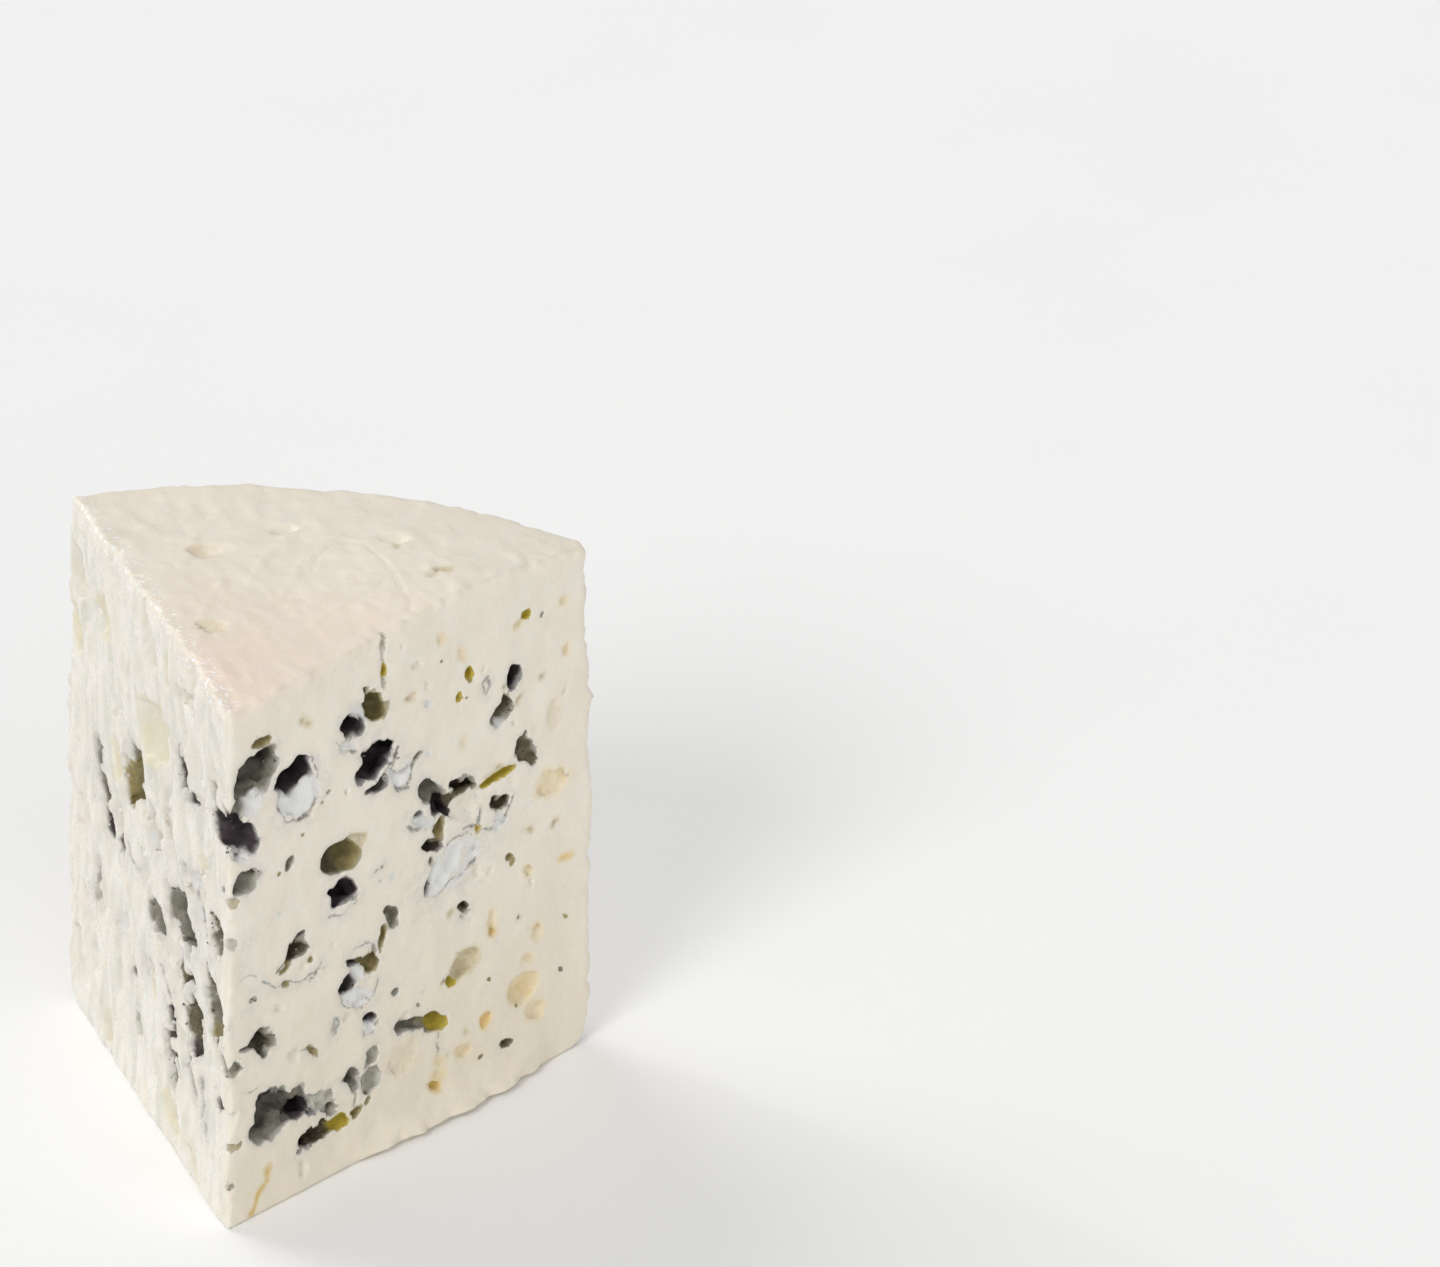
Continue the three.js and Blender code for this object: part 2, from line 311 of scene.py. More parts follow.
class Lining(Enum):
    """What covers an eye's wall: its colour, and how much it haloes the curd round the eye."""

    BLACK = ((0.052, 0.039, 0.042), 1.0)
    DARK = ((0.078, 0.062, 0.052), 1.0)
    GREY = ((0.26, 0.245, 0.195), 1.0)
    LIGHT_GREY = ((0.44, 0.425, 0.36), 0.9)
    DARK_OLIVE = ((0.175, 0.15, 0.09), 0.8)
    OLIVE = ((0.31, 0.255, 0.11), 0.5)
    YELLOW = ((0.46, 0.36, 0.045), 0.15)
    BLUE_WHITE = ((0.77, 0.765, 0.74), 0.9)
    PALE_OLIVE = ((0.57, 0.49, 0.29), 0.0)
    AMBER = ((0.78, 0.56, 0.20), 0.0)
    BRIGHT_AMBER = ((0.60, 0.38, 0.015), 0.0)
    PALE_AMBER = ((0.81, 0.68, 0.44), 0.0)
    TAN = ((0.77, 0.675, 0.51), 0.0)
    HOLLOW_YELLOW = ((0.77, 0.715, 0.545), 0.0)
    CURD = ((0.74, 0.69, 0.60), 0.0)

    @property
    def colour(self) -> Colour:
        """The lining's own colour."""
        return self.value[0]

    @property
    def halo(self) -> float:
        """How strongly the mould tints the curd round the eye."""
        return self.value[1]

    @property
    def soaks(self) -> bool:
        """Whether it is a stain that soaks into the curd and fades, and not a crust of mould."""
        return self.halo == 0.0


@dataclass(frozen=True)
class Lobe:
    """One rounded hollow of an eye in a cut.

    Attributes:
        along: Distance from the tip edge.
        up: Height above the base.
        length: Length of the opening.
        breadth: Breadth of the opening.
        depth: How deep it reaches.
        turn: Angle of the length above the level, in degrees, rising towards the rind.
        lining: What covers its wall.
        rag: How torn its rim is; 1 is usual.
        rim: Rounding of its rim.
    """

    along: float
    up: float
    length: float
    breadth: float
    depth: float
    turn: float
    lining: Lining
    rag: float = 1.0
    rim: float = 0.20


@dataclass(frozen=True)
class Vein:
    """A thin line of mould, a crack or a crease: a narrow groove along a few points.

    Attributes:
        points: Where it runs: distance from the tip edge and height, or X and Y from the axis on the top.
        width: Width of the groove.
        depth: Depth of the groove.
        lining: What colours it.
    """

    points: tuple[tuple[float, float], ...]
    width: float
    depth: float
    lining: Lining


def line_distance(points: Sequence[tuple[float, float]], u: Array, v: Array) -> Array:
    """Distance from places in a plane to a line through a few points."""
    nearest = np.full(np.shape(u), 1e3, np.float32)
    for (au, av), (bu, bv) in zip(points[:-1], points[1:]):
        du, dv = bu - au, bv - av
        share = np.clip(((u - au) * du + (v - av) * dv) / (du * du + dv * dv), 0.0, 1.0)
        nearest = np.minimum(nearest, np.hypot(u - au - share * du, v - av - share * dv))
    return nearest


def rows_of(kind: type, rows: Sequence[tuple]) -> tuple:
    """Makes one lobe or vein of each row of a table, the columns in the order of its attributes."""
    return tuple(kind(*row) for row in rows)


(BLACK, DARK, GREY, LIGHT_GREY, DARK_OLIVE, OLIVE, YELLOW, BLUE_WHITE, PALE_OLIVE, AMBER, BRIGHT_AMBER,
 PALE_AMBER, TAN, HOLLOW_YELLOW, CURD) = Lining
RIGHT_LOBES: tuple[Lobe, ...] = rows_of(Lobe, (
    # Round the tip, from the top down.
    (9.1, 100.3, 4.5, 1.8, 2.5, -12, OLIVE),
    (7.6, 94.4, 10.5, 7.2, 6.0, 20, GREY),
    (10.6, 95.0, 4.0, 3.0, 8.0, 0, DARK),
    (3.2, 89.1, 5.0, 3.6, 4.0, 60, GREY),
    (17.3, 90.1, 8.6, 4.4, 8.0, 12, BLACK),
    (3.4, 82.8, 9.0, 5.8, 9.0, -28, BLACK),
    (4.8, 72.7, 6.4, 4.4, 4.0, 14, GREY, 0.7),
    (18.3, 85.5, 9.2, 7.4, 0.6, -9, BLUE_WHITE, 0.4),
    (6.3, 89.0, 5.4, 4.2, 0.9, -24, BLUE_WHITE, 0.8),
    (3.0, 79.2, 6.0, 2.4, 0.8, -10, BLUE_WHITE, 1.2),
    (0.7, 69.7, 3.6, 1.6, 1.5, -20, OLIVE),
    (16.1, 72.2, 2.6, 1.4, 2.0, 61, GREY),
    # The column under the needle track.
    (40.3, 102.6, 2.6, 1.1, 1.6, -84, YELLOW, 0.5),
    (38.8, 96.0, 9.6, 4.0, 4.5, -57, OLIVE),
    (34.5, 96.6, 5.0, 2.6, 1.2, -20, BLUE_WHITE, 0.6),
    (32.2, 94.3, 6.3, 3.2, 7.0, -28, BLACK),
    (40.2, 86.7, 7.2, 4.0, 9.5, -23, BLACK),
    (37.8, 84.6, 6.8, 4.0, 10.5, -40, BLACK),
    (35.4, 83.3, 5.0, 2.3, 7.0, 0, BLACK),
    (39.1, 79.0, 5.5, 1.9, 3.0, 4, DARK),
    (49.6, 81.1, 2.4, 1.2, 1.8, 27, GREY),
    (45.4, 79.4, 6.0, 4.2, 0.8, -75, BLUE_WHITE),
    (30.8, 90.6, 4.7, 2.3, 1.0, -31, BLUE_WHITE, 1.4),
    (28.4, 67.9, 6.6, 6.0, 4.8, -8, DARK_OLIVE, 0.35),
    (31.6, 67.4, 6.2, 5.4, 4.2, -20, OLIVE, 0.35),
    (32.6, 69.0, 6.0, 4.0, 1.8, 0, PALE_OLIVE, 0.3),
    (29.9, 59.9, 7.0, 4.3, 8.0, -34, BLACK),
    # The cluster in the middle, and the small eyes above it.
    (52.8, 72.2, 7.0, 4.2, 3.5, -39, GREY, 0.7),
    (61.5, 69.6, 7.8, 3.8, 5.0, -22, DARK_OLIVE),
    (56.6, 68.3, 5.1, 2.7, 6.0, -25, BLACK),
    (58.3, 66.0, 3.0, 1.8, 5.0, -37, BLACK),
    (62.6, 64.9, 8.6, 5.0, 1.2, -34, CURD, 0.5),
    (50.1, 68.7, 2.2, 1.1, 1.8, -17, DARK),
    (51.4, 67.1, 6.0, 2.8, 0.8, -19, BLUE_WHITE, 1.3),
    (55.9, 63.0, 4.7, 1.9, 2.6, 83, OLIVE),
    (53.7, 60.2, 5.2, 2.1, 4.5, -20, DARK),
    (53.6, 57.0, 1.5, 1.0, 1.4, 90, OLIVE),
    (52.8, 51.8, 2.8, 1.6, 2.8, 82, DARK),
    (59.7, 54.1, 12.6, 7.6, 0.5, 15, BLUE_WHITE, 0.6),
    (71.2, 68.2, 8.5, 1.5, 2.0, 5, YELLOW, 0.5),
    (72.1, 62.4, 4.8, 2.5, 4.0, -16, DARK_OLIVE),
    (71.5, 58.9, 5.0, 2.4, 0.8, -15, BLUE_WHITE, 1.2),
    (78.4, 71.3, 6.6, 4.1, 3.5, -56, DARK_OLIVE),
    (78.9, 71.6, 3.0, 1.7, 1.2, -56, LIGHT_GREY, 1.4),
    (75.2, 87.7, 4.4, 2.8, 6.0, 78, BLACK, 0.5),
    (72.4, 82.1, 5.8, 3.8, 4.0, 32, DARK_OLIVE, 0.6),
    (71.3, 79.4, 1.8, 1.2, 1.0, 0, BLUE_WHITE),
    (63.5, 93.0, 2.5, 2.1, 2.0, -66, YELLOW, 0.4),
    (60.5, 89.3, 1.7, 1.1, 1.4, 81, YELLOW, 0.4),
    (61.3, 97.8, 2.8, 1.3, 0.7, -60, PALE_AMBER, 0.5),
    (55.6, 103.4, 2.0, 1.4, 0.4, -60, PALE_AMBER, 0.5),
    (78.4, 99.6, 2.6, 1.7, 1.6, -17, YELLOW, 0.4),
    (76.4, 98.4, 2.4, 1.2, 0.6, 20, PALE_AMBER, 0.5),
    (88.6, 98.8, 2.0, 1.3, 0.6, -40, PALE_AMBER, 0.5),
    (89.5, 87.9, 2.0, 1.4, 0.6, -87, PALE_AMBER, 0.5),
    (86.6, 61.2, 8.0, 4.6, 0.6, -3, PALE_AMBER, 0.6),
    (86.3, 75.8, 5.0, 2.4, 0.4, 90, TAN, 0.6),
    (90.7, 43.1, 2.8, 0.9, 0.5, -5, AMBER, 0.5),
    (80.0, 44.6, 2.3, 2.0, 0.6, 48, PALE_AMBER, 0.5),
    (66.4, 59.0, 1.6, 1.1, 1.2, -59, YELLOW, 0.5),
    (74.8, 49.6, 2.0, 1.2, 1.5, -17, OLIVE, 0.6),
    (47.5, 94.2, 2.8, 1.3, 0.7, -12, TAN, 0.8),
    (62.0, 79.2, 2.4, 1.0, 0.4, 78, TAN, 0.6),
    # Below the middle.
    (17.3, 52.5, 4.9, 3.9, 5.0, 23, DARK_OLIVE, 1.2),
    (19.1, 55.6, 1.7, 1.2, 2.0, -9, DARK),
    (15.0, 49.9, 2.4, 0.9, 1.4, 30, OLIVE),
    (0.4, 60.9, 3.0, 2.5, 1.4, -72, GREY),
    (42.4, 50.7, 2.0, 1.6, 3.0, -60, DARK_OLIVE),
    (43.6, 48.8, 3.4, 2.2, 2.6, -80, GREY),
    (40.9, 46.1, 4.4, 1.8, 1.8, 81, OLIVE),
    (37.6, 42.5, 4.2, 3.1, 3.6, -15, OLIVE),
    (33.5, 44.2, 3.6, 1.3, 4.5, -19, BLACK),
    (31.3, 39.6, 3.6, 3.4, 7.0, -19, BLACK),
    (34.3, 41.4, 4.4, 3.0, 0.9, -30, BLUE_WHITE),
    (34.8, 35.8, 7.0, 3.8, 0.7, -16, BLUE_WHITE),
    (44.4, 32.9, 1.8, 1.3, 1.4, 71, GREY),
    (37.5, 30.5, 3.2, 1.6, 4.0, -16, BLACK),
    (37.4, 28.4, 3.2, 2.2, 0.6, -30, BLUE_WHITE),
    (28.2, 32.3, 3.4, 1.2, 0.6, 82, LIGHT_GREY),
    (62.7, 43.4, 3.2, 1.7, 2.6, -29, DARK_OLIVE),
    (70.2, 35.3, 1.7, 1.2, 1.2, -46, BRIGHT_AMBER, 0.4),
    (70.0, 38.0, 3.4, 1.4, 0.4, 80, PALE_AMBER, 0.5),
    (83.0, 30.3, 3.4, 2.4, 0.5, -68, PALE_AMBER, 0.5),
    (80.4, 25.6, 2.8, 1.3, 0.5, -20, PALE_AMBER, 0.5),
    (63.2, 31.1, 7.4, 4.4, 2.6, 20, PALE_OLIVE, 0.5),
    (59.5, 29.1, 2.4, 2.0, 2.4, -24, YELLOW, 0.5),
    (79.3, 19.3, 7.6, 5.5, 2.0, -17, PALE_AMBER, 0.5),
    (80.6, 18.4, 4.2, 2.6, 2.5, -30, AMBER, 0.6),
    (83.0, 12.7, 5.2, 3.5, 1.1, -28, PALE_AMBER, 0.5),
    (68.7, 16.5, 2.8, 2.3, 1.5, -66, AMBER, 0.5),
    (49.4, 24.1, 9.0, 2.6, 3.5, -10, GREY),
    (55.5, 22.0, 5.1, 3.8, 3.0, -41, YELLOW, 0.7),
    (53.6, 21.6, 3.0, 2.4, 3.2, -41, LIGHT_GREY, 0.7),
    (54.6, 23.8, 4.0, 1.1, 3.2, -16, DARK_OLIVE),
    (74.9, 8.8, 3.0, 1.2, 2.0, -14, DARK_OLIVE),
    (63.0, 12.5, 4.0, 2.5, 1.0, -18, PALE_AMBER, 0.5),
    (56.8, 12.9, 3.3, 1.7, 0.6, -20, PALE_AMBER, 0.5),
    (46.4, 18.1, 7.3, 5.7, 0.5, 14, TAN, 0.7),
    (55.5, 7.7, 2.8, 1.4, 1.6, -24, BRIGHT_AMBER, 0.4),
    (56.8, 9.6, 3.2, 1.9, 0.6, -31, PALE_AMBER, 0.5),
    # Round the tip, near the base.
    (9.4, 36.6, 6.2, 3.7, 4.5, -42, GREY),
    (9.8, 36.9, 6.0, 2.8, 5.5, -63, DARK_OLIVE),
    (5.4, 37.2, 3.4, 0.9, 1.5, 0, GREY),
    (22.5, 29.3, 3.6, 0.9, 1.4, -51, OLIVE),
    (32.7, 18.7, 5.0, 3.0, 3.8, -34, GREY),
    (38.0, 22.0, 4.6, 3.0, 2.6, 42, LIGHT_GREY),
    (38.0, 15.7, 5.4, 3.8, 2.2, 51, LIGHT_GREY, 1.2),
    (34.0, 11.9, 2.3, 1.7, 2.0, 10, OLIVE),
    (37.0, 12.6, 1.6, 1.0, 1.2, 30, OLIVE),
    (10.5, 22.5, 6.6, 4.6, 8.0, 73, BLACK),
    (14.6, 19.8, 10.0, 5.0, 5.5, -15, GREY),
    (10.9, 17.9, 9.0, 4.2, 4.2, -10, GREY, 0.8),
    (14.0, 22.6, 4.0, 3.0, 3.2, -86, LIGHT_GREY, 1.3),
    (17.4, 21.4, 4.9, 4.2, 5.0, -71, GREY),
    (20.3, 17.8, 4.2, 3.4, 7.0, 10, BLACK),
    (24.6, 18.0, 6.0, 3.0, 1.4, -17, LIGHT_GREY, 1.8),
    (27.8, 15.6, 4.6, 2.2, 2.0, -17, GREY, 1.8),
    (23.7, 11.2, 7.4, 4.3, 6.5, -2, DARK_OLIVE, 1.4),
    (22.2, 10.6, 4.6, 3.2, 6.5, 20, DARK, 1.2),
    (29.4, 10.9, 4.8, 3.0, 2.4, 0, YELLOW, 0.8),
    (1.3, 23.7, 2.2, 1.6, 1.2, -20, OLIVE, 1.5),
    (1.3, 17.4, 3.2, 1.8, 1.2, 6, OLIVE, 1.8),
    (0.8, 9.3, 2.2, 1.0, 1.0, -18, DARK_OLIVE),
    (6.5, 46.6, 1.1, 0.8, 0.7, 0, GREY),
    (15.8, 46.5, 2.3, 1.1, 1.0, -20, OLIVE),
    (40.2, 2.4, 1.3, 1.0, 0.6, 0, OLIVE),
))
RIGHT_VEINS: tuple[Vein, ...] = rows_of(Vein, (
    # Outlines of the curd that has grown back into an eye.
    (((13.4, 89.0), (12.8, 84.8), (15.4, 80.9), (21.2, 80.2), (23.1, 83.8), (23.3, 88.9), (21.4, 91.9)),
     0.75, 1.2, GREY),
    (((3.6, 89.0), (4.9, 87.2), (7.8, 86.9), (8.9, 90.4)), 0.7, 1.0, GREY),
    (((-1.6, 80.5), (0.2, 80.0), (2.1, 78.2), (4.6, 77.6)), 0.7, 1.2, GREY),
    (((27.6, 92.6), (28.6, 91.0), (31.3, 89.5), (33.6, 88.6)), 0.7, 1.0, GREY),
    (((43.9, 85.2), (43.2, 81.9), (41.8, 79.4), (37.6, 78.0)), 0.8, 1.4, GREY),
    (((50.5, 81.4), (48.3, 79.2), (46.9, 75.8), (44.6, 75.7), (43.2, 78.0)), 0.7, 1.0, GREY),
    (((39.5, 80.1), (41.8, 82.0), (44.7, 82.9)), 0.7, 1.2, GREY),
    (((65.9, 65.9), (66.9, 62.7), (66.2, 60.0), (62.4, 60.4)), 0.6, 0.8, GREY),
    (((47.6, 67.0), (49.0, 65.6), (52.0, 65.8), (55.1, 64.2)), 0.7, 1.0, GREY),
    (((57.8, 59.0), (61.4, 59.5), (65.1, 58.2), (66.4, 54.6), (65.2, 51.8), (62.0, 51.2), (58.9, 50.6),
      (55.0, 49.0), (51.7, 50.4)), 0.65, 0.9, GREY),
    (((66.4, 58.4), (69.7, 57.8), (74.0, 58.8), (75.0, 61.8)), 0.7, 1.0, GREY),
    (((67.8, 69.1), (71.4, 69.9), (75.1, 69.0)), 0.4, 0.6, PALE_OLIVE),
    (((25.9, 56.3), (30.5, 55.3), (33.7, 56.9), (34.4, 58.6)), 0.6, 0.8, GREY),
    (((67.1, 87.0), (66.9, 89.7), (68.0, 90.3), (68.6, 88.3), (67.9, 86.9)), 0.45, 0.6, GREY),
    (((31.1, 45.0), (33.1, 46.8), (36.5, 46.5), (39.4, 44.3)), 0.8, 1.2, GREY),
    (((29.8, 37.7), (31.9, 34.6), (36.0, 33.4), (38.7, 34.8), (39.9, 37.6)), 0.7, 1.0, GREY),
    (((35.9, 29.9), (36.4, 27.5), (38.5, 26.8), (39.7, 28.6)), 0.6, 0.8, GREY),
    (((27.6, 30.4), (27.4, 32.2), (28.8, 34.2), (29.3, 32.0), (28.4, 30.2)), 0.5, 0.7, GREY),
    (((61.6, 42.2), (63.2, 41.3), (64.4, 42.4)), 0.6, 0.8, GREY),
    # Free veins, streaks and cracks.
    (((9.3, 49.5), (12.7, 47.0), (16.1, 46.7), (19.5, 45.7), (22.2, 46.1), (25.1, 46.1)), 0.5, 0.7, GREY),
    (((21.5, 44.4), (23.2, 45.9), (24.2, 48.3)), 0.5, 0.7, GREY),
    (((3.3, 52.5), (5.9, 52.4), (8.0, 51.0)), 0.35, 0.5, OLIVE),
    (((12.7, 50.4), (15.2, 51.2), (16.0, 54.0), (19.1, 56.1)), 0.5, 0.7, DARK_OLIVE),
    (((18.3, 30.9), (21.0, 30.5), (22.4, 30.1), (23.4, 27.8)), 0.5, 0.7, GREY),
    (((38.2, 60.6), (40.4, 61.4)), 0.5, 0.7, GREY),
    (((56.1, 19.4), (56.2, 15.0)), 0.5, 0.8, DARK_OLIVE),
    (((40.3, 21.4), (37.6, 19.2), (34.1, 17.8), (33.5, 12.5)), 0.7, 1.2, GREY),
    (((3.3, 28.1), (6.1, 27.2), (8.8, 27.8)), 0.35, 0.5, OLIVE),
    (((11.3, 9.5), (10.4, 6.3), (8.3, 4.7), (7.0, 2.2), (6.3, 0.6)), 0.55, 0.6, BRIGHT_AMBER),
    (((40.7, 112.0), (40.2, 107.0), (40.3, 99.5)), 1.5, 2.0, OLIVE),
))
LEFT_LOBES: tuple[Lobe, ...] = rows_of(Lobe, (
    # The upper half, from the rind to the tip.
    (74.8, 92.3, 10.5, 4.6, 2.6, -18, HOLLOW_YELLOW, 0.25, 0.4),
    (91.0, 82.5, 5.0, 5.0, 1.6, -10, HOLLOW_YELLOW, 0.25, 0.5),
    (46.6, 81.8, 10.5, 7.4, 4.0, -25, HOLLOW_YELLOW, 0.25, 0.4),
    (23.5, 100.2, 9.6, 1.9, 2.0, -8, CURD, 1.2),
    (20.6, 100.3, 2.8, 1.2, 1.6, -15, DARK_OLIVE),
    (77.6, 60.0, 7.8, 5.2, 6.0, 85, GREY),
    (55.6, 70.2, 6.6, 5.0, 5.5, -45, GREY),
    (58.6, 65.6, 9.0, 5.2, 5.0, -55, OLIVE),
    (26.4, 83.3, 7.6, 3.6, 6.0, 17, DARK),
    (43.4, 62.1, 7.0, 4.3, 5.0, 10, OLIVE),
    (43.0, 60.6, 3.6, 2.4, 5.0, 10, DARK),
    (21.8, 63.8, 6.0, 2.3, 1.2, 1, BLUE_WHITE),
    (20.6, 61.6, 1.8, 1.0, 1.4, 0, DARK),
    (8.1, 59.2, 5.8, 3.8, 4.0, -8, DARK_OLIVE),
    (16.5, 66.5, 2.0, 5.0, 1.4, 0, HOLLOW_YELLOW, 0.4),
    # The lower half, from the rind to the tip.
    (72.6, 50.2, 5.6, 3.0, 6.0, -12, BLACK),
    (63.6, 49.0, 4.8, 2.3, 4.5, -12, DARK),
    (28.5, 52.4, 13.0, 6.7, 8.0, -10, GREY),
    (31.0, 54.6, 5.0, 3.6, 8.0, -10, DARK),
    (44.3, 44.2, 7.0, 3.4, 5.0, -6, GREY),
    (80.6, 34.7, 8.6, 2.8, 1.6, -59, LIGHT_GREY),
    (80.0, 31.0, 1.6, 1.2, 1.6, 0, GREY),
    (29.5, 41.4, 9.4, 3.9, 5.0, -21, DARK_OLIVE),
    (21.5, 42.2, 3.8, 1.5, 4.0, -25, DARK),
    (56.7, 26.5, 3.2, 1.5, 3.0, -22, DARK),
    (9.8, 49.0, 3.2, 1.5, 3.5, -22, DARK),
    (9.6, 44.7, 7.4, 4.4, 5.0, -30, DARK_OLIVE),
    (8.0, 40.4, 7.2, 2.4, 2.6, -24, OLIVE),
    (53.9, 16.7, 4.2, 2.8, 1.6, 2, LIGHT_GREY),
    (34.2, 26.9, 2.9, 2.4, 3.0, 61, DARK),
    (21.5, 35.3, 9.0, 4.1, 6.0, -24, DARK_OLIVE),
    (20.0, 30.8, 7.2, 2.0, 5.0, -40, DARK),
    (34.4, 21.0, 3.8, 3.2, 4.0, 61, DARK),
    (21.4, 21.5, 6.0, 3.0, 5.0, 23, GREY),
    (4.0, 34.1, 3.6, 1.7, 3.0, 1, GREY),
    (6.5, 24.5, 3.2, 1.1, 2.0, -31, DARK),
    (33.1, 7.5, 8.6, 4.6, 2.6, -4, HOLLOW_YELLOW, 0.3, 0.4),
    (17.9, 17.5, 3.2, 1.6, 1.0, 82, LIGHT_GREY),
    (66.0, 78.0, 4.0, 2.2, 0.9, -10, CURD),
    (36.0, 70.0, 5.0, 2.4, 0.9, -20, CURD),
    (63.0, 33.0, 4.6, 2.4, 1.0, -20, BLUE_WHITE),
    (47.5, 31.5, 5.2, 2.2, 1.1, -30, BLUE_WHITE),
))
LEFT_VEINS: tuple[Vein, ...] = rows_of(Vein, (
    (((60.0, 52.0), (56.0, 49.0), (52.0, 48.2)), 0.6, 0.8, LIGHT_GREY),
    (((40.0, 36.0), (36.0, 34.0), (33.0, 30.0)), 0.6, 0.8, LIGHT_GREY),
    (((16.0, 25.0), (14.0, 21.0), (13.0, 15.0)), 0.5, 0.8, LIGHT_GREY),
))
# On the top the places are X and Y from the wheel's axis.
TOP_LOBES: tuple[Lobe, ...] = rows_of(Lobe, (
    (-19.7, 62.5, 5.6, 4.6, 1.2, 0, TAN, 0.3, 0.8),
    (14.5, 72.5, 4.6, 2.9, 1.0, 0, CURD, 0.3, 0.8),
    (16.0, 70.0, 1.2, 3.6, 0.7, 10, TAN, 0.3, 0.6),
    (-7.1, 73.9, 4.4, 2.8, 1.0, 20, CURD, 0.3, 0.8),
    (-11.2, 32.1, 4.8, 3.4, 0.9, 30, TAN, 0.6, 0.7),
    (26.8, 59.8, 3.2, 1.5, 1.1, 20, PALE_OLIVE, 0.6, 0.4),
    (25.6, 57.4, 2.4, 1.4, 0.8, 60, TAN, 0.6, 0.4),
    (-35.6, 68.3, 3.4, 2.4, 0.6, 40, CURD, 0.3, 0.8),
))


def stray_hollows(count: int, seed: int, field_of: tuple[float, float, float, float],
                  length: tuple[float, float], depth: tuple[float, float], turn: tuple[float, float],
                  linings: Sequence[Lining], rag: float, rim: float) -> tuple[Lobe, ...]:
    """Small hollows strewn over a face.

    Args:
        count: How many.
        seed: Picks their places.
        field_of: Lowest and highest first measure, then lowest and highest second measure, of the face.
        length: Shortest and longest.
        depth: Shallowest and deepest.
        turn: Least and greatest turn, in degrees.
        linings: What they may be lined with.
        rag: How torn their rims are.
        rim: Rounding of their rims.

    Returns:
        The hollows.
    """
    random = np.random.default_rng(seed)
    made = []
    for _ in range(count):
        long = length[0] + (length[1] - length[0]) * random.random() ** 2
        along, up = random.uniform(*field_of[:2]), random.uniform(*field_of[2:])
        breadth = long * random.uniform(0.4, 0.75)
        deep, turned = random.uniform(*depth), random.uniform(*turn)
        lining = linings[int(random.integers(len(linings)))]
        made.append(Lobe(along, up, long, breadth, deep, turned, lining, rag, rim))
    return tuple(made)


STRAY_HOLLOWS: tuple[tuple[Side | None, tuple[Lobe, ...]], ...] = (
    (Side.LEFT, stray_hollows(64, 5, (3.0, 92.0, 4.0, 106.0), (3.0, 10.0), (0.8, 2.2), (66.0, 84.0),
                              (CURD, CURD, CURD, HOLLOW_YELLOW), 0.5, 0.9)),
    (Side.LEFT, stray_hollows(24, 9, (3.0, 60.0, 10.0, 90.0), (1.4, 3.6), (1.0, 2.6), (60.0, 84.0),
                              (LIGHT_GREY, GREY, BLUE_WHITE), 0.8, 0.3)),
    (Side.LEFT, stray_hollows(16, 3, (5.0, 38.0, 14.0, 64.0), (2.4, 5.0), (2.8, 4.6), (40.0, 84.0),
                              (DARK, DARK_OLIVE, GREY), 0.9, 0.3)),
    (Side.RIGHT, stray_hollows(46, 6, (3.0, 92.0, 4.0, 104.0), (0.5, 1.5), (0.4, 0.9), (-60.0, 60.0),
                               (GREY, BLUE_WHITE, PALE_OLIVE, OLIVE), 0.8, 0.2)),
    (Side.RIGHT, stray_hollows(60, 8, (3.0, 92.0, 4.0, 106.0), (0.8, 3.2), (0.25, 0.6), (-90.0, 90.0),
                               (CURD,), 0.8, 0.2)),
)
FEATURES: tuple[tuple[Side | None, Lobe | Vein], ...] = tuple(
    (side, one)
    for side, group in (
        (Side.RIGHT, RIGHT_LOBES), (Side.RIGHT, RIGHT_VEINS), (Side.LEFT, LEFT_LOBES),
        (Side.LEFT, LEFT_VEINS), (None, TOP_LOBES), *STRAY_HOLLOWS,
    )
    for one in group
)
TOP_CREASE: tuple[tuple[float, float], ...] = (
    (2.6, 56.8), (1.9, 62.6), (3.6, 68.3), (6.9, 70.1), (10.4, 67.7), (14.1, 63.4), (17.9, 56.9),
    (21.9, 49.7), (24.6, 42.0),
)
TOP_SMEARS: tuple[tuple[tuple[float, float], ...], ...] = (
    ((-8.4, 51.0), (-7.0, 64.9), (-3.2, 77.2), (0.4, 85.0)),
    ((-22.7, 54.9), (-22.7, 68.5), (-20.7, 79.7)),
    ((3.1, 39.1), (6.8, 45.9), (10.2, 57.2)),
    ((7.2, 35.7), (13.1, 47.5), (15.9, 55.6)),
    ((-1.1, 45.4), (-0.6, 60.5), (5.9, 78.7)),
    ((-12.0, 24.0), (-14.0, 38.0), (-13.0, 50.0)),
)


# ---------------------------------------------------------------- the carving


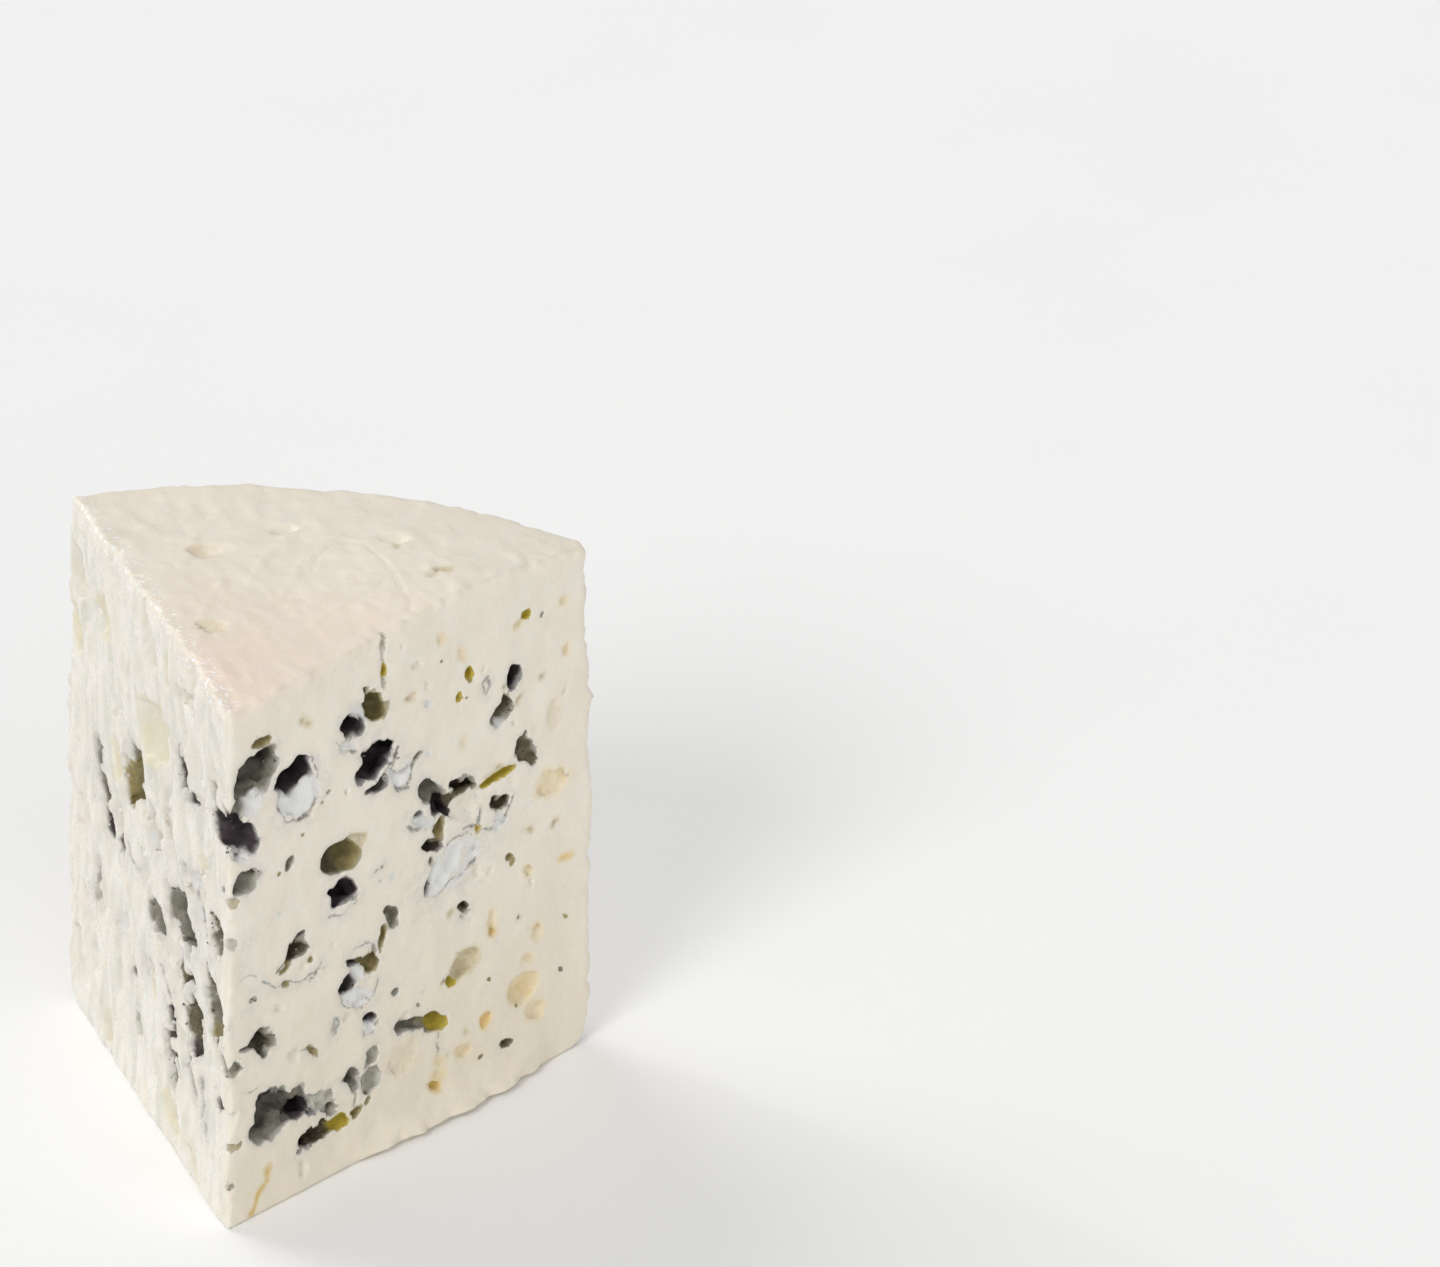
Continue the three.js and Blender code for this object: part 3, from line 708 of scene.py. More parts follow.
@dataclass(frozen=True)
class Relief:
    """How far the skin of the wedge stands out and in, and how rough it is.

    Attributes:
        drag: Height of the streaks that the wire drags down the left cut.
        smear: Height of the smears on the top.
        foot: How far the crumbling foot of the right cut stands out.
        rind: Height of the wrinkles on the rind.
        smooth: Height of the soft waves on the right cut.
        edge: How uneven the edges between faces are.
        calm: Height below which the skin grows smooth, so that the base lies flat.
        foot_span: Where along the right cut its foot begins, is full, begins to end and ends.
        smear_way: The way in which the top was wiped, X and Y.
        crease: Depth and width of the top's curved crease.
        crease_lip: Height, width and distance of the lip beside the crease.
    """

    drag: float = 0.62
    smear: float = 0.30
    foot: float = 2.9
    rind: float = 0.6
    smooth: float = 0.30
    edge: float = 0.40
    calm: float = 1.5
    foot_span: tuple[float, float, float, float] = (24.0, 52.0, 74.0, 90.0)
    smear_way: tuple[float, float] = (0.85, 0.53)
    crease: tuple[float, float] = (0.30, 0.36)
    crease_lip: tuple[float, float, float] = (0.07, 0.5, 0.8)


@dataclass(frozen=True)
class TornWall:
    """How the wall of an eye wanders and tears.

    Attributes:
        bend: How far a wall wanders, as a share of the eye's breadth.
        bend_breadth: The breadth past which it wanders no further.
        bend_rag: The rag past which it wanders no further.
        tear: How far the small tears reach.
        tear_breadth: The breadth from which they reach so far.
        shred: Height of the finest shreds, as a share of the tears.
        sizes: Sizes of the wandering, the tears and the shreds.
        sway: How far a wall of the left cut sways along its streaks.
        sway_breadth: The breadth from which it sways so far.
        left_small: How much wider a small eye of the left cut is.
        left_large: How much wider a large one is.
        left_tall: How much taller an eye of the left cut is.
    """

    bend: float = 0.42
    bend_breadth: float = 3.6
    bend_rag: float = 1.3
    tear: float = 0.55
    tear_breadth: float = 2.2
    shred: float = 0.45
    sizes: tuple[float, float, float] = (2.6, 1.1, 0.55)
    sway: float = 1.2
    sway_breadth: float = 3.0
    left_small: float = 1.35
    left_large: float = 1.15
    left_tall: float = 1.25


@dataclass
class CurdCarving:
    """The wedge as a field of distances: below zero in the curd, above zero outside it and in its eyes.

    Attributes:
        shape: The plain form.
        relief: The roughness of the skin.
        wall: The roughness of the eyes' walls.
        seed: Picks the random pattern.
        fold: Rounding of the edges of the cuts.
        back_fold: Rounding of the upright edges between the cuts and the rind.
        rim: Rounding of the grooves' rims.
        left_rim: Least rounding of a rim in the left cut.
        scoop: How far an eye of the left cut runs towards the tip as it goes in.
        growth: How much wider an eye is than its torn rim makes it look.
        reach: How far from the plain form the roughness is worked out.
        foot_reach: How many times as far it is worked out near the base.
        sight: How far outside the curd an eye is still worked out.
    """

    shape: WedgeShape
    relief: Relief = field(default_factory=Relief)
    wall: TornWall = field(default_factory=TornWall)
    seed: int = SEED
    fold: float = 0.7
    back_fold: float = 2.8
    rim: float = 0.20
    left_rim: float = 0.7
    scoop: float = 0.9
    growth: float = 1.14
    reach: float = 1.7
    foot_reach: float = 2.4
    sight: float = 2.0
    coarse: Grain = field(init=False, repr=False)
    fine: Grain = field(init=False, repr=False)
    third: Grain = field(init=False, repr=False)

    def __post_init__(self) -> None:
        """Makes the grains that every pattern draws on."""
        self.coarse, self.fine, self.third = (Grain(self.seed + n) for n in range(3))

    # The plain form.

    def from_axis(self, x: Array, y: Array) -> tuple[Array, Array]:
        """Places measured from the wheel's axis."""
        return x - np.float32(self.shape.axis[0]), y - np.float32(self.shape.axis[1])

    def faces(self, x: Array, y: Array, z: Array) -> dict[str, Array]:
        """Distance outside each face of the plain form, from places measured from the axis."""
        shape = self.shape
        over = z - shape.top_at(x, y)
        beyond = np.hypot(x, y) - shape.rind_at(z)
        return {
            "left": shape.face_frame(Side.LEFT, x, y, z)[1],
            "right": shape.face_frame(Side.RIGHT, x, y, z)[1],
            "top": over,
            "wheel": shape.rounded_side(beyond, x, y, z),
            "rind": beyond,
        }

    def plain(self, faces: dict[str, Array]) -> Array:
        """The plain form's distance field, cut edges rounded."""
        cuts = soft_max(faces["left"], faces["right"], self.fold * 1.6)
        round_back = soft_max(cuts, faces["rind"], self.back_fold)
        return soft_max(round_back, faces["wheel"], self.fold)

    @staticmethod
    def shares(faces: dict[str, Array], width: float = 1.0) -> dict[str, Array]:
        """How much each face has a say at a place, the shares adding up to one."""
        names = ("left", "right", "top", "rind")
        powers = [np.exp(np.clip(faces[name] / width, -30.0, 5.0)) for name in names]
        total = sum(powers)
        return {name: power / total for name, power in zip(names, powers)}

    # The skin.

    def roughness(self, x: Array, y: Array, z: Array, faces: dict[str, Array]) -> Array:
        """How far the skin stands out of the plain form at places near it."""
        share = self.shares(faces)
        skin = np.zeros_like(x)
        reliefs = {
            "left": self.left_relief, "right": self.right_relief,
            "top": self.top_relief, "rind": self.rind_relief,
        }
        for name, relief in reliefs.items():
            here = np.flatnonzero(share[name] > 0.01)
            if len(here):
                skin[here] += share[name][here] * relief(x[here], y[here], z[here])
        edge = np.clip(1.0 - sum(one * one for one in share.values()), 0.0, 0.5) * 2.0
        skin += self.relief.edge * edge * (self.coarse.at(x, y, z, 3.4) + 0.5 * self.third.at(x, y, z, 1.3))
        return skin * step_up(0.0, self.relief.calm, z)

    def left_relief(self, x: Array, y: Array, z: Array) -> Array:
        """Streaks and shreds that the wire dragged down the left cut."""
        along, proud = self.shape.face_frame(Side.LEFT, x, y, z)
        drag = self.relief.drag
        sway = along - DRAG_LEAN * z + 1.5 * self.coarse.at(along, proud * 0, z, (9.0, LEVEL, 22.0))
        broad = self.coarse.at(sway, proud * 0 + 3, z, (5.5, LEVEL, 11.0)) * drag * 1.25
        streak = self.fine.at(sway, proud * 0 + 7, z, (2.8, LEVEL, 9.0)) * drag * 0.55
        thin = self.third.at(sway, proud * 0 + 5, z, (1.2, LEVEL, 7.0)) * drag * 0.14
        shreds = step_up(0.35, 0.8, self.third.at(sway, proud, z, (2.6, 3.0, 3.0))) * drag * 0.9
        return broad + streak + thin + shreds

    def right_relief(self, x: Array, y: Array, z: Array) -> Array:
        """Soft waves of the right cut, and its crumbling foot."""
        along, proud = self.shape.face_frame(Side.RIGHT, x, y, z)
        waves = self.coarse.at(along, proud * 0, z, 9.0) * self.relief.smooth
        ripple = self.fine.at(along, proud * 0, z, (3.2, LEVEL, 4.0)) * self.relief.smooth * 0.45
        grit = self.third.at(along, proud * 0, z, 1.1) * self.relief.smooth * 0.25
        starts, full, ebbs, ends = self.relief.foot_span
        spread = step_up(starts, full, along) * (1.0 - step_up(ebbs, ends, along))
        torn = self.coarse.at(along, proud * 0 + 9, z, (4.5, LEVEL, 6.0))
        torn = torn + 0.6 * self.fine.at(along, proud, z, 1.9)
        foot = self.relief.foot * spread * (1.0 - step_up(0.0, 6.5 + 2.0 * spread, z + 1.2 * torn))
        return waves + ripple + grit + foot * (1.0 + 0.55 * torn)

    def top_relief(self, x: Array, y: Array, z: Array) -> Array:
        """Smears, ridges and the curved crease of the top."""
        smear = self.relief.smear
        way_x, way_y = self.relief.smear_way
        turned, across = x * way_x + y * way_y, y * way_x - x * way_y
        broad = self.coarse.at(x, y, z * 0, 11.0) * smear
        drawn = self.fine.at(turned, across, z * 0 + 3, (2.2, 7.5, LEVEL)) * smear * 0.55
        grain = self.third.at(x, y, z * 0, 1.5) * smear * 0.22
        ridges = np.zeros_like(x)
        for line in TOP_SMEARS:
            apart = line_distance(line, x + 0.6 * self.third.at(x, y, z * 0 + 2, 3.0), y)
            ridges = np.maximum(ridges, np.exp(-(apart / 0.8) ** 2))
        wander = 0.5 * self.third.at(x, y, z * 0 + 4, 2.5)
        crease = line_distance(TOP_CREASE, x + wander, y + wander)
        depth, width = self.relief.crease
        height, lip_width, lip_at = self.relief.crease_lip
        lip = np.exp(-((crease - lip_at) / lip_width) ** 2) * height
        lumps = step_up(0.25, 0.6, self.fine.at(turned, across, z * 0 + 8, (2.0, 4.0, LEVEL))) * smear * 0.5
        raised = broad + drawn + grain + lumps + ridges * smear * 0.8 + lip
        return raised - np.exp(-(crease / width) ** 2) * depth

    def rind_relief(self, x: Array, y: Array, z: Array) -> Array:
        """Wrinkles and dents of the scraped rind."""
        rind = self.relief.rind
        broad = self.coarse.at(x, y, z, 8.0) * rind
        wrinkle = self.fine.at(x, y, z, (3.4, 3.4, 1.8)) * rind * 0.65
        pits = step_up(0.45, 0.75, self.third.at(x, y, z, (2.4, 2.4, 1.9))) * rind * 0.7
        return broad + wrinkle - pits + self.third.at(x, y, z, 1.1) * rind * 0.25

    # Eyes and veins.

    def face_place(self, side: Side | None, x: Array, y: Array, z: Array) -> tuple[Array, Array, Array]:
        """A place as two measures in a face and one out of it; no side means the top."""
        if side is None:
            return x, y, z - self.shape.top_at(x, y)
        along, proud = self.shape.face_frame(side, x, y, z)
        return along, z, proud

    def eye(self, lobe: Lobe, side: Side | None, x: Array, y: Array, z: Array) -> Array:
        """Distance outside one lobe of an eye, its walls torn.

        Args:
            lobe: The lobe.
            side: The cut it lies in, or None for the top.
            x: X from the axis.
            y: Y from the axis.
            z: Height.

        Returns:
            Distance outside the lobe, below zero in it.
        """
        small, wall = min(lobe.length, lobe.breadth), self.wall
        bend = wall.bend * min(small, wall.bend_breadth) * min(lobe.rag, wall.bend_rag)
        tear = wall.tear * lobe.rag * min(small / wall.tear_breadth, 1.0)
        wide, torn, shreds = wall.sizes
        px, py, pz = (
            place + bend * grain.at(x, y, z, wide)
            + tear * (grain.at(x, y, z, torn) + wall.shred * grain.at(y, z, x, shreds))
            for place, grain in zip((x, y, z), (self.coarse, self.fine, self.third))
        )
        u, v, w = self.face_place(side, px, py, pz)
        grown, tall = self.growth, 1.0
        if side is Side.LEFT:
            sway = wall.sway * self.fine.at(u, w * 0 + 7, v, (1.9, LEVEL, 12.0))
            v = v + sway * min(small / wall.sway_breadth, 1.0)
            u = u - DRAG_LEAN * (v - lobe.up) - self.scoop * w
            grown *= wall.left_small if small < wall.sway_breadth else wall.left_large
            tall = wall.left_tall
        turn = math.radians(lobe.turn)
        du, dv = u - lobe.along, (v - lobe.up) / tall
        long, wide, deep = grown * lobe.length / 2, grown * lobe.breadth / 2, max(lobe.depth, 0.3)
        p = (du * math.cos(turn) + dv * math.sin(turn)) / long
        q = (dv * math.cos(turn) - du * math.sin(turn)) / wide
        r = (w + 0.12 * min(deep, 2.0)) / deep
        near_one = np.sqrt(p * p + q * q + r * r) + TINY
        slope = np.sqrt((p / long) ** 2 + (q / wide) ** 2 + (r / deep) ** 2)
        return near_one * (near_one - 1.0) / (slope + TINY)

    def groove(self, vein: Vein, side: Side | None, x: Array, y: Array, z: Array) -> Array:
        """Distance outside the groove of a vein, its line wandering and its width uneven."""
        wander, bend_size = 0.6, 1.7
        u, v, w = self.face_place(side, x, y, z)
        u = u + wander * self.coarse.at(x, y, z, bend_size)
        v = v + wander * self.fine.at(x, y, z, bend_size)
        width = vein.width * (0.52 + 0.6 * self.third.at(x, y, z, 2.0))
        apart = line_distance(vein.points, u, v)
        squash = vein.width / (2.0 * vein.depth)
        return np.hypot(apart, w * squash) - width / 2.0

    # The block of curd.

    def place_of(self, side: Side | None, u: float, v: float) -> tuple[float, float, float]:
        """Where a point of a face lies, measured from the axis."""
        if side is None:
            return u, v, float(self.shape.top_at(u, v))
        way = self.shape.along(side)
        tip_x, tip_y = self.shape.tip(np.float32(v))
        return float(tip_x + u * way[0]), float(tip_y + u * way[1]), v

    def reach_of(self, side: Side | None, one: Lobe | Vein) -> tuple[Array, Array]:
        """The lowest and highest corner of the room that a feature needs, measured from the axis."""
        if isinstance(one, Lobe):
            places = [self.place_of(side, one.along, one.up)]
            spread = max(one.length / 2, one.breadth / 2, one.depth) + 2.2
        else:
            places = [self.place_of(side, u, v) for u, v in one.points]
            spread = one.depth + one.width + 1.6
        places = np.array(places)
        return places.min(0) - spread, places.max(0) + spread

    def apart(self, side: Side | None, one: Lobe | Vein, x: Array, y: Array, z: Array) -> Array:
        """Distance outside a feature of either kind."""
        if isinstance(one, Lobe):
            return self.eye(one, side, x, y, z)
        return self.groove(one, side, x, y, z)

    def carve(self, low: Array, shape: tuple[int, int, int], step: float) -> Array:
        """Works the field out on a grid.

        Args:
            low: The grid's lowest corner, in millimetres of the frame.
            shape: How many places it has each way.
            step: The distance between them.

        Returns:
            The field, below zero in the curd.
        """
        ticks = [(low[n] + step * np.arange(shape[n])).astype(np.float32) for n in range(3)]
        x, y = self.from_axis(ticks[0], ticks[1])
        values = np.empty(shape, np.float32)
        yy, zz = np.meshgrid(y, ticks[2], indexing="ij")
        for i, one in enumerate(x):
            values[i] = self.plain(self.faces(np.full_like(yy, one), yy, zz))
        low_down = (ticks[2] < FOOT_HEIGHT)[None, None, :]
        foot = low_down & (np.abs(values) < self.foot_reach * self.reach)
        close = np.flatnonzero((np.abs(values) < self.reach) | foot)
        for part in np.array_split(close, max(len(close) // CHUNK, 1)):
            i, j, k = np.unravel_index(part, shape)
            px, py, pz = x[i], y[j], ticks[2][k]
            values.ravel()[part] -= self.roughness(px, py, pz, self.faces(px, py, pz))
        corner = np.array([x[0], y[0], ticks[2][0]])
        for side, one in FEATURES:
            lowest, highest = self.reach_of(side, one)
            first = np.maximum(np.floor((lowest - corner) / step).astype(int), 0)
            last = np.minimum(np.ceil((highest - corner) / step).astype(int) + 1, shape)
            if np.any(last <= first):
                continue
            part = tuple(slice(a, b) for a, b in zip(first, last))
            block = values[part]
            near = np.flatnonzero(block.ravel() < self.sight)
            spot = np.unravel_index(near, block.shape)
            bx, by, bz = x[part[0]][spot[0]], y[part[1]][spot[1]], ticks[2][part[2]][spot[2]]
            hollow = self.apart(side, one, bx, by, bz)
            rim = one.rim if isinstance(one, Lobe) else self.rim
            if side is Side.LEFT:
                rim = max(rim, self.left_rim)
            block[spot] = soft_max(block[spot], -hollow, rim)
        return np.maximum(values, -zz[None])


@dataclass
class MouldTint:
    """Says at each vertex what mould does there: what lines it, and how it tints the curd near by.

    Attributes:
        carving: The carving that the vertices come from.
        sight: How far from an eye or a vein its distance is kept.
        fade: Over what distance one lining gives way to the next.
        soak_fade: The same for stains that soak in.
        left_haze_and_painted_shade: How far an eye of the left cut tints the curd, wider than elsewhere,
            partly as painted soft shade round the eye.
        haze_right: How far any other eye tints it.
        vein_haze: How strongly a vein tints the curd, beside an eye.
        full_size: The size from which an eye tints the curd fully.
    """

    carving: CurdCarving
    sight: float = 4.0
    fade: float = 0.28
    soak_fade: float = 0.7
    left_haze_and_painted_shade: float = 3.6
    haze_right: float = 2.4
    vein_haze: float = 0.8
    full_size: float = 4.0

    def measure(self, x: Array, y: Array, z: Array) -> dict[str, Array]:
        """Works out the attributes.

        Args:
            x: X of the vertices from the wheel's axis, in millimetres.
            y: Y of the vertices.
            z: Heights of the vertices.

        Returns:
            Arrays by attribute name: distances, the linings' colours, the halo, and the faces' shares.
        """
        eye = np.full(x.shape, self.sight, np.float32)
        vein = np.full(x.shape, self.sight, np.float32)
        lining = np.zeros(x.shape + (3,), np.float32)
        weight = np.full(x.shape, NOTHING, np.float32)
        line = np.zeros(x.shape + (3,), np.float32)
        line_weight = np.full(x.shape, NOTHING, np.float32)
        halo = np.zeros(x.shape, np.float32)
        stain = np.zeros(x.shape, np.float32)
        soak = np.zeros(x.shape + (3,), np.float32)
        soak_weight = np.full(x.shape, NOTHING, np.float32)
        place = np.stack((x, y, z), axis=-1)
        for side, one in FEATURES:
            lowest, highest = self.carving.reach_of(side, one)
            lowest, highest = lowest - self.sight, highest + self.sight
            here = np.flatnonzero(np.all((place > lowest) & (place < highest), axis=-1))
            if not len(here) or one.lining is Lining.CURD:
                continue
            apart = self.carving.apart(side, one, x[here], y[here], z[here])
            colour = np.array(one.lining.colour, np.float32)
            nearness = np.exp(-np.maximum(apart, -0.6) / self.fade)
            # Round an eye of the left cut the grey tint reaches further: partly mould, partly painted soft
            # shade of the translucent curd.
            wide = self.left_haze_and_painted_shade if side is Side.LEFT else self.haze_right
            tint = one.lining.halo * (1.0 - step_up(-0.2, wide, apart))
            if one.lining.soaks:
                spread = np.exp(-np.maximum(apart, -0.5) / self.soak_fade)
                soak[here] += colour * spread[:, None]
                soak_weight[here] += spread
                stain[here] = np.maximum(stain[here], 1.0 - step_up(-0.4, 1.1, apart))
            elif isinstance(one, Lobe):
                eye[here] = np.minimum(eye[here], apart)
                lining[here] += colour * nearness[:, None]
                weight[here] += nearness
                size = min(math.sqrt(one.length * one.breadth) / self.full_size, 1.0)
                halo[here] = np.maximum(halo[here], tint * size)
            else:
                vein[here] = np.minimum(vein[here], apart)
                line[here] += colour * nearness[:, None]
                line_weight[here] += nearness
                halo[here] = np.maximum(halo[here], tint * self.vein_haze)
        faces = self.carving.faces(x, y, z)
        share = self.carving.shares(faces, 1.5)
        zone = np.stack((share["left"], share["top"], share["rind"]), axis=-1)
        return {
            "eye_apart": eye,
            "vein_apart": vein,
            "lining": lining / weight[:, None],
            "vein_lining": line / line_weight[:, None],
            "halo": halo,
            "stain": stain,
            "stain_lining": soak / soak_weight[:, None],
            "deep": np.clip(-self.carving.plain(faces), 0.0, 10.0),
            "zone": zone,
        }


# ------------------------------------------------------------------ the meshes


def largest_shell(count: int, faces: Array) -> Array:
    """Picks the faces of the shell with the most vertices.

    Args:
        count: How many vertices there are.
        faces: Vertex numbers of each face.

    Returns:
        True for each face of that shell.
    """
    label = np.arange(count)
    edges = np.concatenate([faces[:, [n, (n + 1) % faces.shape[1]]] for n in range(faces.shape[1])])
    while True:
        lowest = np.minimum(label[edges[:, 0]], label[edges[:, 1]])
        new = label.copy()
        np.minimum.at(new, edges[:, 0], lowest)
        np.minimum.at(new, edges[:, 1], lowest)
        new = new[new]
        new = new[new]
        if np.array_equal(new, label):
            break
        label = new
    names, sizes = np.unique(label, return_counts=True)
    return label[faces[:, 0]] == names[sizes.argmax()]


def mesh_from(name: str, points: Array, faces: Array) -> bpy.types.Object:
    """Makes an object from points in metres and faces of one kind, linked to the scene."""
    mesh = bpy.data.meshes.new(name)
    corners = faces.shape[1]
    mesh.vertices.add(len(points))
    mesh.vertices.foreach_set("co", points.astype(np.float32).ravel())
    mesh.loops.add(faces.size)
    mesh.loops.foreach_set("vertex_index", faces.astype(np.int32).ravel())
    mesh.polygons.add(len(faces))
    mesh.polygons.foreach_set("loop_start", np.arange(0, faces.size, corners, dtype=np.int32))
    mesh.update(calc_edges=True)
    mesh.validate()
    made = bpy.data.objects.new(name, mesh)
    bpy.context.scene.collection.objects.link(made)
    return made


def bake_modifiers(piece: bpy.types.Object) -> None:
    """Turns a piece's modifiers into its plain mesh and removes them."""
    graph = bpy.context.evaluated_depsgraph_get()
    graph.update()
    old = piece.data
    new = bpy.data.meshes.new_from_object(piece.evaluated_get(graph), depsgraph=graph)
    piece.modifiers.clear()
    piece.data = new
    name = old.name
    bpy.data.meshes.remove(old)
    new.name = name


def vertex_places(mesh: bpy.types.Mesh) -> Array:
    """The vertices of a mesh, in its own units."""
    place = np.empty(len(mesh.vertices) * 3, np.float32)
    mesh.vertices.foreach_get("co", place)
    return place.reshape(-1, 3)


@dataclass
class CheeseBlock:
    """The wedge itself: one closed piece of curd.

    Attributes:
        carving: What shapes it.
        step: Distance between the grid's places, in millimetres.
        faces: How many triangles the finished piece may have.
        margin: Room round the plain form, in millimetres.
        free: How freely triangles are taken out of the cuts, and how much more so of the rind and the top.
    """

    carving: CurdCarving
    step: float = 0.36
    faces: int = 190_000
    margin: float = 3.5
    free: tuple[float, float, float] = (0.25, 0.30, 0.15)

    def build(self) -> bpy.types.Object:
        """Carves the wedge, meshes it, thins the mesh and writes the attributes."""
        low, high = (np.array(corner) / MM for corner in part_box(WEDGE_NODE))
        low, high = low - self.margin, high + self.margin
        low[2] = -2.0 * self.step
        count = tuple(int(n) for n in np.ceil((high - low) / self.step).astype(int) + 1)
        values = self.carving.carve(low, count, self.step)
        piece = self.mesh_of(values, low)
        self.thin(piece)
        self.tint(piece)
        return piece

    def mesh_of(self, values: Array, low: Array) -> bpy.types.Object:
        """Meshes the field's zero surface and keeps its largest shell."""
        band = NARROW_BAND * self.step
        grid = openvdb.FloatGrid(band)
        grid.copyFromArray(np.clip(values, -band, band), tolerance=0.0)
        points, quads = grid.convertToQuads(isovalue=0.0)
        points = (points * self.step + low).astype(np.float32)
        quads = quads.astype(np.int64)
        quads = quads[largest_shell(len(points), quads)]
        used, quads = np.unique(quads, return_inverse=True)
        points, quads = points[used], quads.reshape(-1, 4)
        a, b, c, d = (points[quads[:, n]] for n in range(4))
        if np.einsum("ij,ij->", a, np.cross(b - a, c - a) + np.cross(c - a, d - a)) < 0:
            quads = quads[:, ::-1]
        return mesh_from("cheese", points * MM, quads)

    def thin(self, piece: bpy.types.Object) -> None:
        """Eases the grid's ripple and takes triangles out, least of all near the eyes."""
        ease = piece.modifiers.new("ease", "SMOOTH")
        ease.factor, ease.iterations = 0.5, 2
        split = piece.modifiers.new("split", "TRIANGULATE")
        split.quad_method = "SHORTEST_DIAGONAL"
        bake_modifiers(piece)
        place = vertex_places(piece.data) / MM
        x, y = self.carving.from_axis(place[:, 0], place[:, 1])
        share = self.carving.shares(self.carving.faces(x, y, place[:, 2]), 1.5)
        cuts, rind, top = self.free
        free = np.clip(cuts + rind * share["rind"] + top * share["top"] + (place[:, 2] < 0.2), 0.0, 1.0)
        group = piece.vertex_groups.new(name="thin")
        for level in range(1, 11):
            rows = np.flatnonzero(np.ceil(free * 10) == level)
            group.add(rows.tolist(), level / 10, "REPLACE")
        thin = piece.modifiers.new("thin", "DECIMATE")
        thin.ratio = min(self.faces / len(piece.data.polygons), 1.0)
        thin.vertex_group, thin.vertex_group_factor = group.name, 1.0
        bake_modifiers(piece)
        piece.vertex_groups.clear()
        piece.data.polygons.foreach_set("use_smooth", np.ones(len(piece.data.polygons), bool))

    def tint(self, piece: bpy.types.Object) -> None:
        """Writes the mould's attributes on the vertices."""
        place = vertex_places(piece.data) / MM
        x, y = self.carving.from_axis(place[:, 0], place[:, 1])
        for name, values in MouldTint(self.carving).measure(x, y, place[:, 2]).items():
            if values.ndim == 1:
                piece.data.attributes.new(name, "FLOAT", "POINT").data.foreach_set("value", values)
            else:
                colour = np.concatenate((values, np.ones((len(values), 1))), axis=1).astype(np.float32)
                made = piece.data.attributes.new(name, "FLOAT_COLOR", "POINT")
                made.data.foreach_set("color", colour.ravel())


# ------------------------------------------------------------------- finishes


class Wiring:
    """Lays out the nodes of a tree from left to right and links them."""

    def __init__(self, tree: bpy.types.NodeTree) -> None:
        """Starts on an empty tree.

        Args:
            tree: The node tree to fill.
        """
        self.tree = tree
        tree.nodes.clear()

    def add(self, kind: str, inputs: dict[str | int, object] | None = None,
            **settings: object) -> bpy.types.Node:
        """Adds a node.

        Args:
            kind: Blender's name for the node.
            inputs: What goes into its sockets, by name or number: a value, or another node's socket.
            **settings: The node's own settings.

        Returns:
            The node.
        """
        node = self.tree.nodes.new(kind)
        node.location = (180.0 * len(self.tree.nodes), 0.0)
        for name, value in settings.items():
            setattr(node, name, value)
        for name, value in (inputs or {}).items():
            if isinstance(value, bpy.types.NodeSocket):
                self.tree.links.new(value, node.inputs[name])
            else:
                node.inputs[name].default_value = value
        return node

    def attribute(self, name: str, colour: bool = False) -> bpy.types.NodeSocket:
        """Reads an attribute of the mesh."""
        node = self.add("ShaderNodeAttribute", attribute_name=name)
        return node.outputs["Color" if colour else "Fac"]

    def grain(self, place: object, size: float, detail: float = 2.0,
              rough: float = 0.5) -> bpy.types.NodeSocket:
        """Noise with grains of a size in millimetres, from 0 to 1."""
        inputs = {"Vector": place, "Scale": 1.0 / (size * MM), "Detail": detail, "Roughness": rough}
        return self.add("ShaderNodeTexNoise", inputs).outputs["Fac"]

    def maths(self, how: str, a: object, b: object = 0.0, c: object = 0.0) -> bpy.types.NodeSocket:
        """One sum on numbers."""
        return self.add("ShaderNodeMath", {0: a, 1: b, 2: c}, operation=how).outputs[0]

    def ramp(self, value: object, low: float, high: float, start: float = 0.0,
             end: float = 1.0) -> bpy.types.NodeSocket:
        """Turns a range of a value into another, smoothly and with ends held."""
        inputs = {"Value": value, "From Min": low, "From Max": high, "To Min": start, "To Max": end}
        return self.add("ShaderNodeMapRange", inputs, interpolation_type="SMOOTHSTEP").outputs["Result"]

    def mix(self, share: object, a: object, b: object, how: str = "MIX") -> bpy.types.NodeSocket:
        """Mixes two colours by a share."""
        a, b = (tuple(one) + (1.0,) if isinstance(one, tuple) else one for one in (a, b))
        node = self.add("ShaderNodeMix", {0: share, 6: a, 7: b}, data_type="RGBA", blend_type=how)
        return node.outputs[2]

    def bump(self, height: object, strength: float, reach: float) -> bpy.types.NodeSocket:
        """The look of a fine roughness that reaches so many millimetres."""
        inputs = {"Height": height, "Strength": strength, "Distance": reach * MM}
        return self.add("ShaderNodeBump", inputs).outputs[0]


def new_material(name: str) -> tuple[bpy.types.Material, Wiring, bpy.types.NodeSocket]:
    """Starts a material: the material, its wiring and the piece's own coordinates."""
    material = bpy.data.materials.new(name)
    material.use_nodes = True
    wire = Wiring(material.node_tree)
    return material, wire, wire.add("ShaderNodeTexCoord").outputs["Object"]


def close_material(wire: Wiring, inputs: dict[str, object]) -> None:
    """Ends a material with its shader and output.

    Args:
        wire: The tree's wiring.
        inputs: What goes into the shader, by the sockets' names.
    """
    shader = wire.add("ShaderNodeBsdfPrincipled", inputs)
    wire.add("ShaderNodeOutputMaterial", {"Surface": shader.outputs[0]})


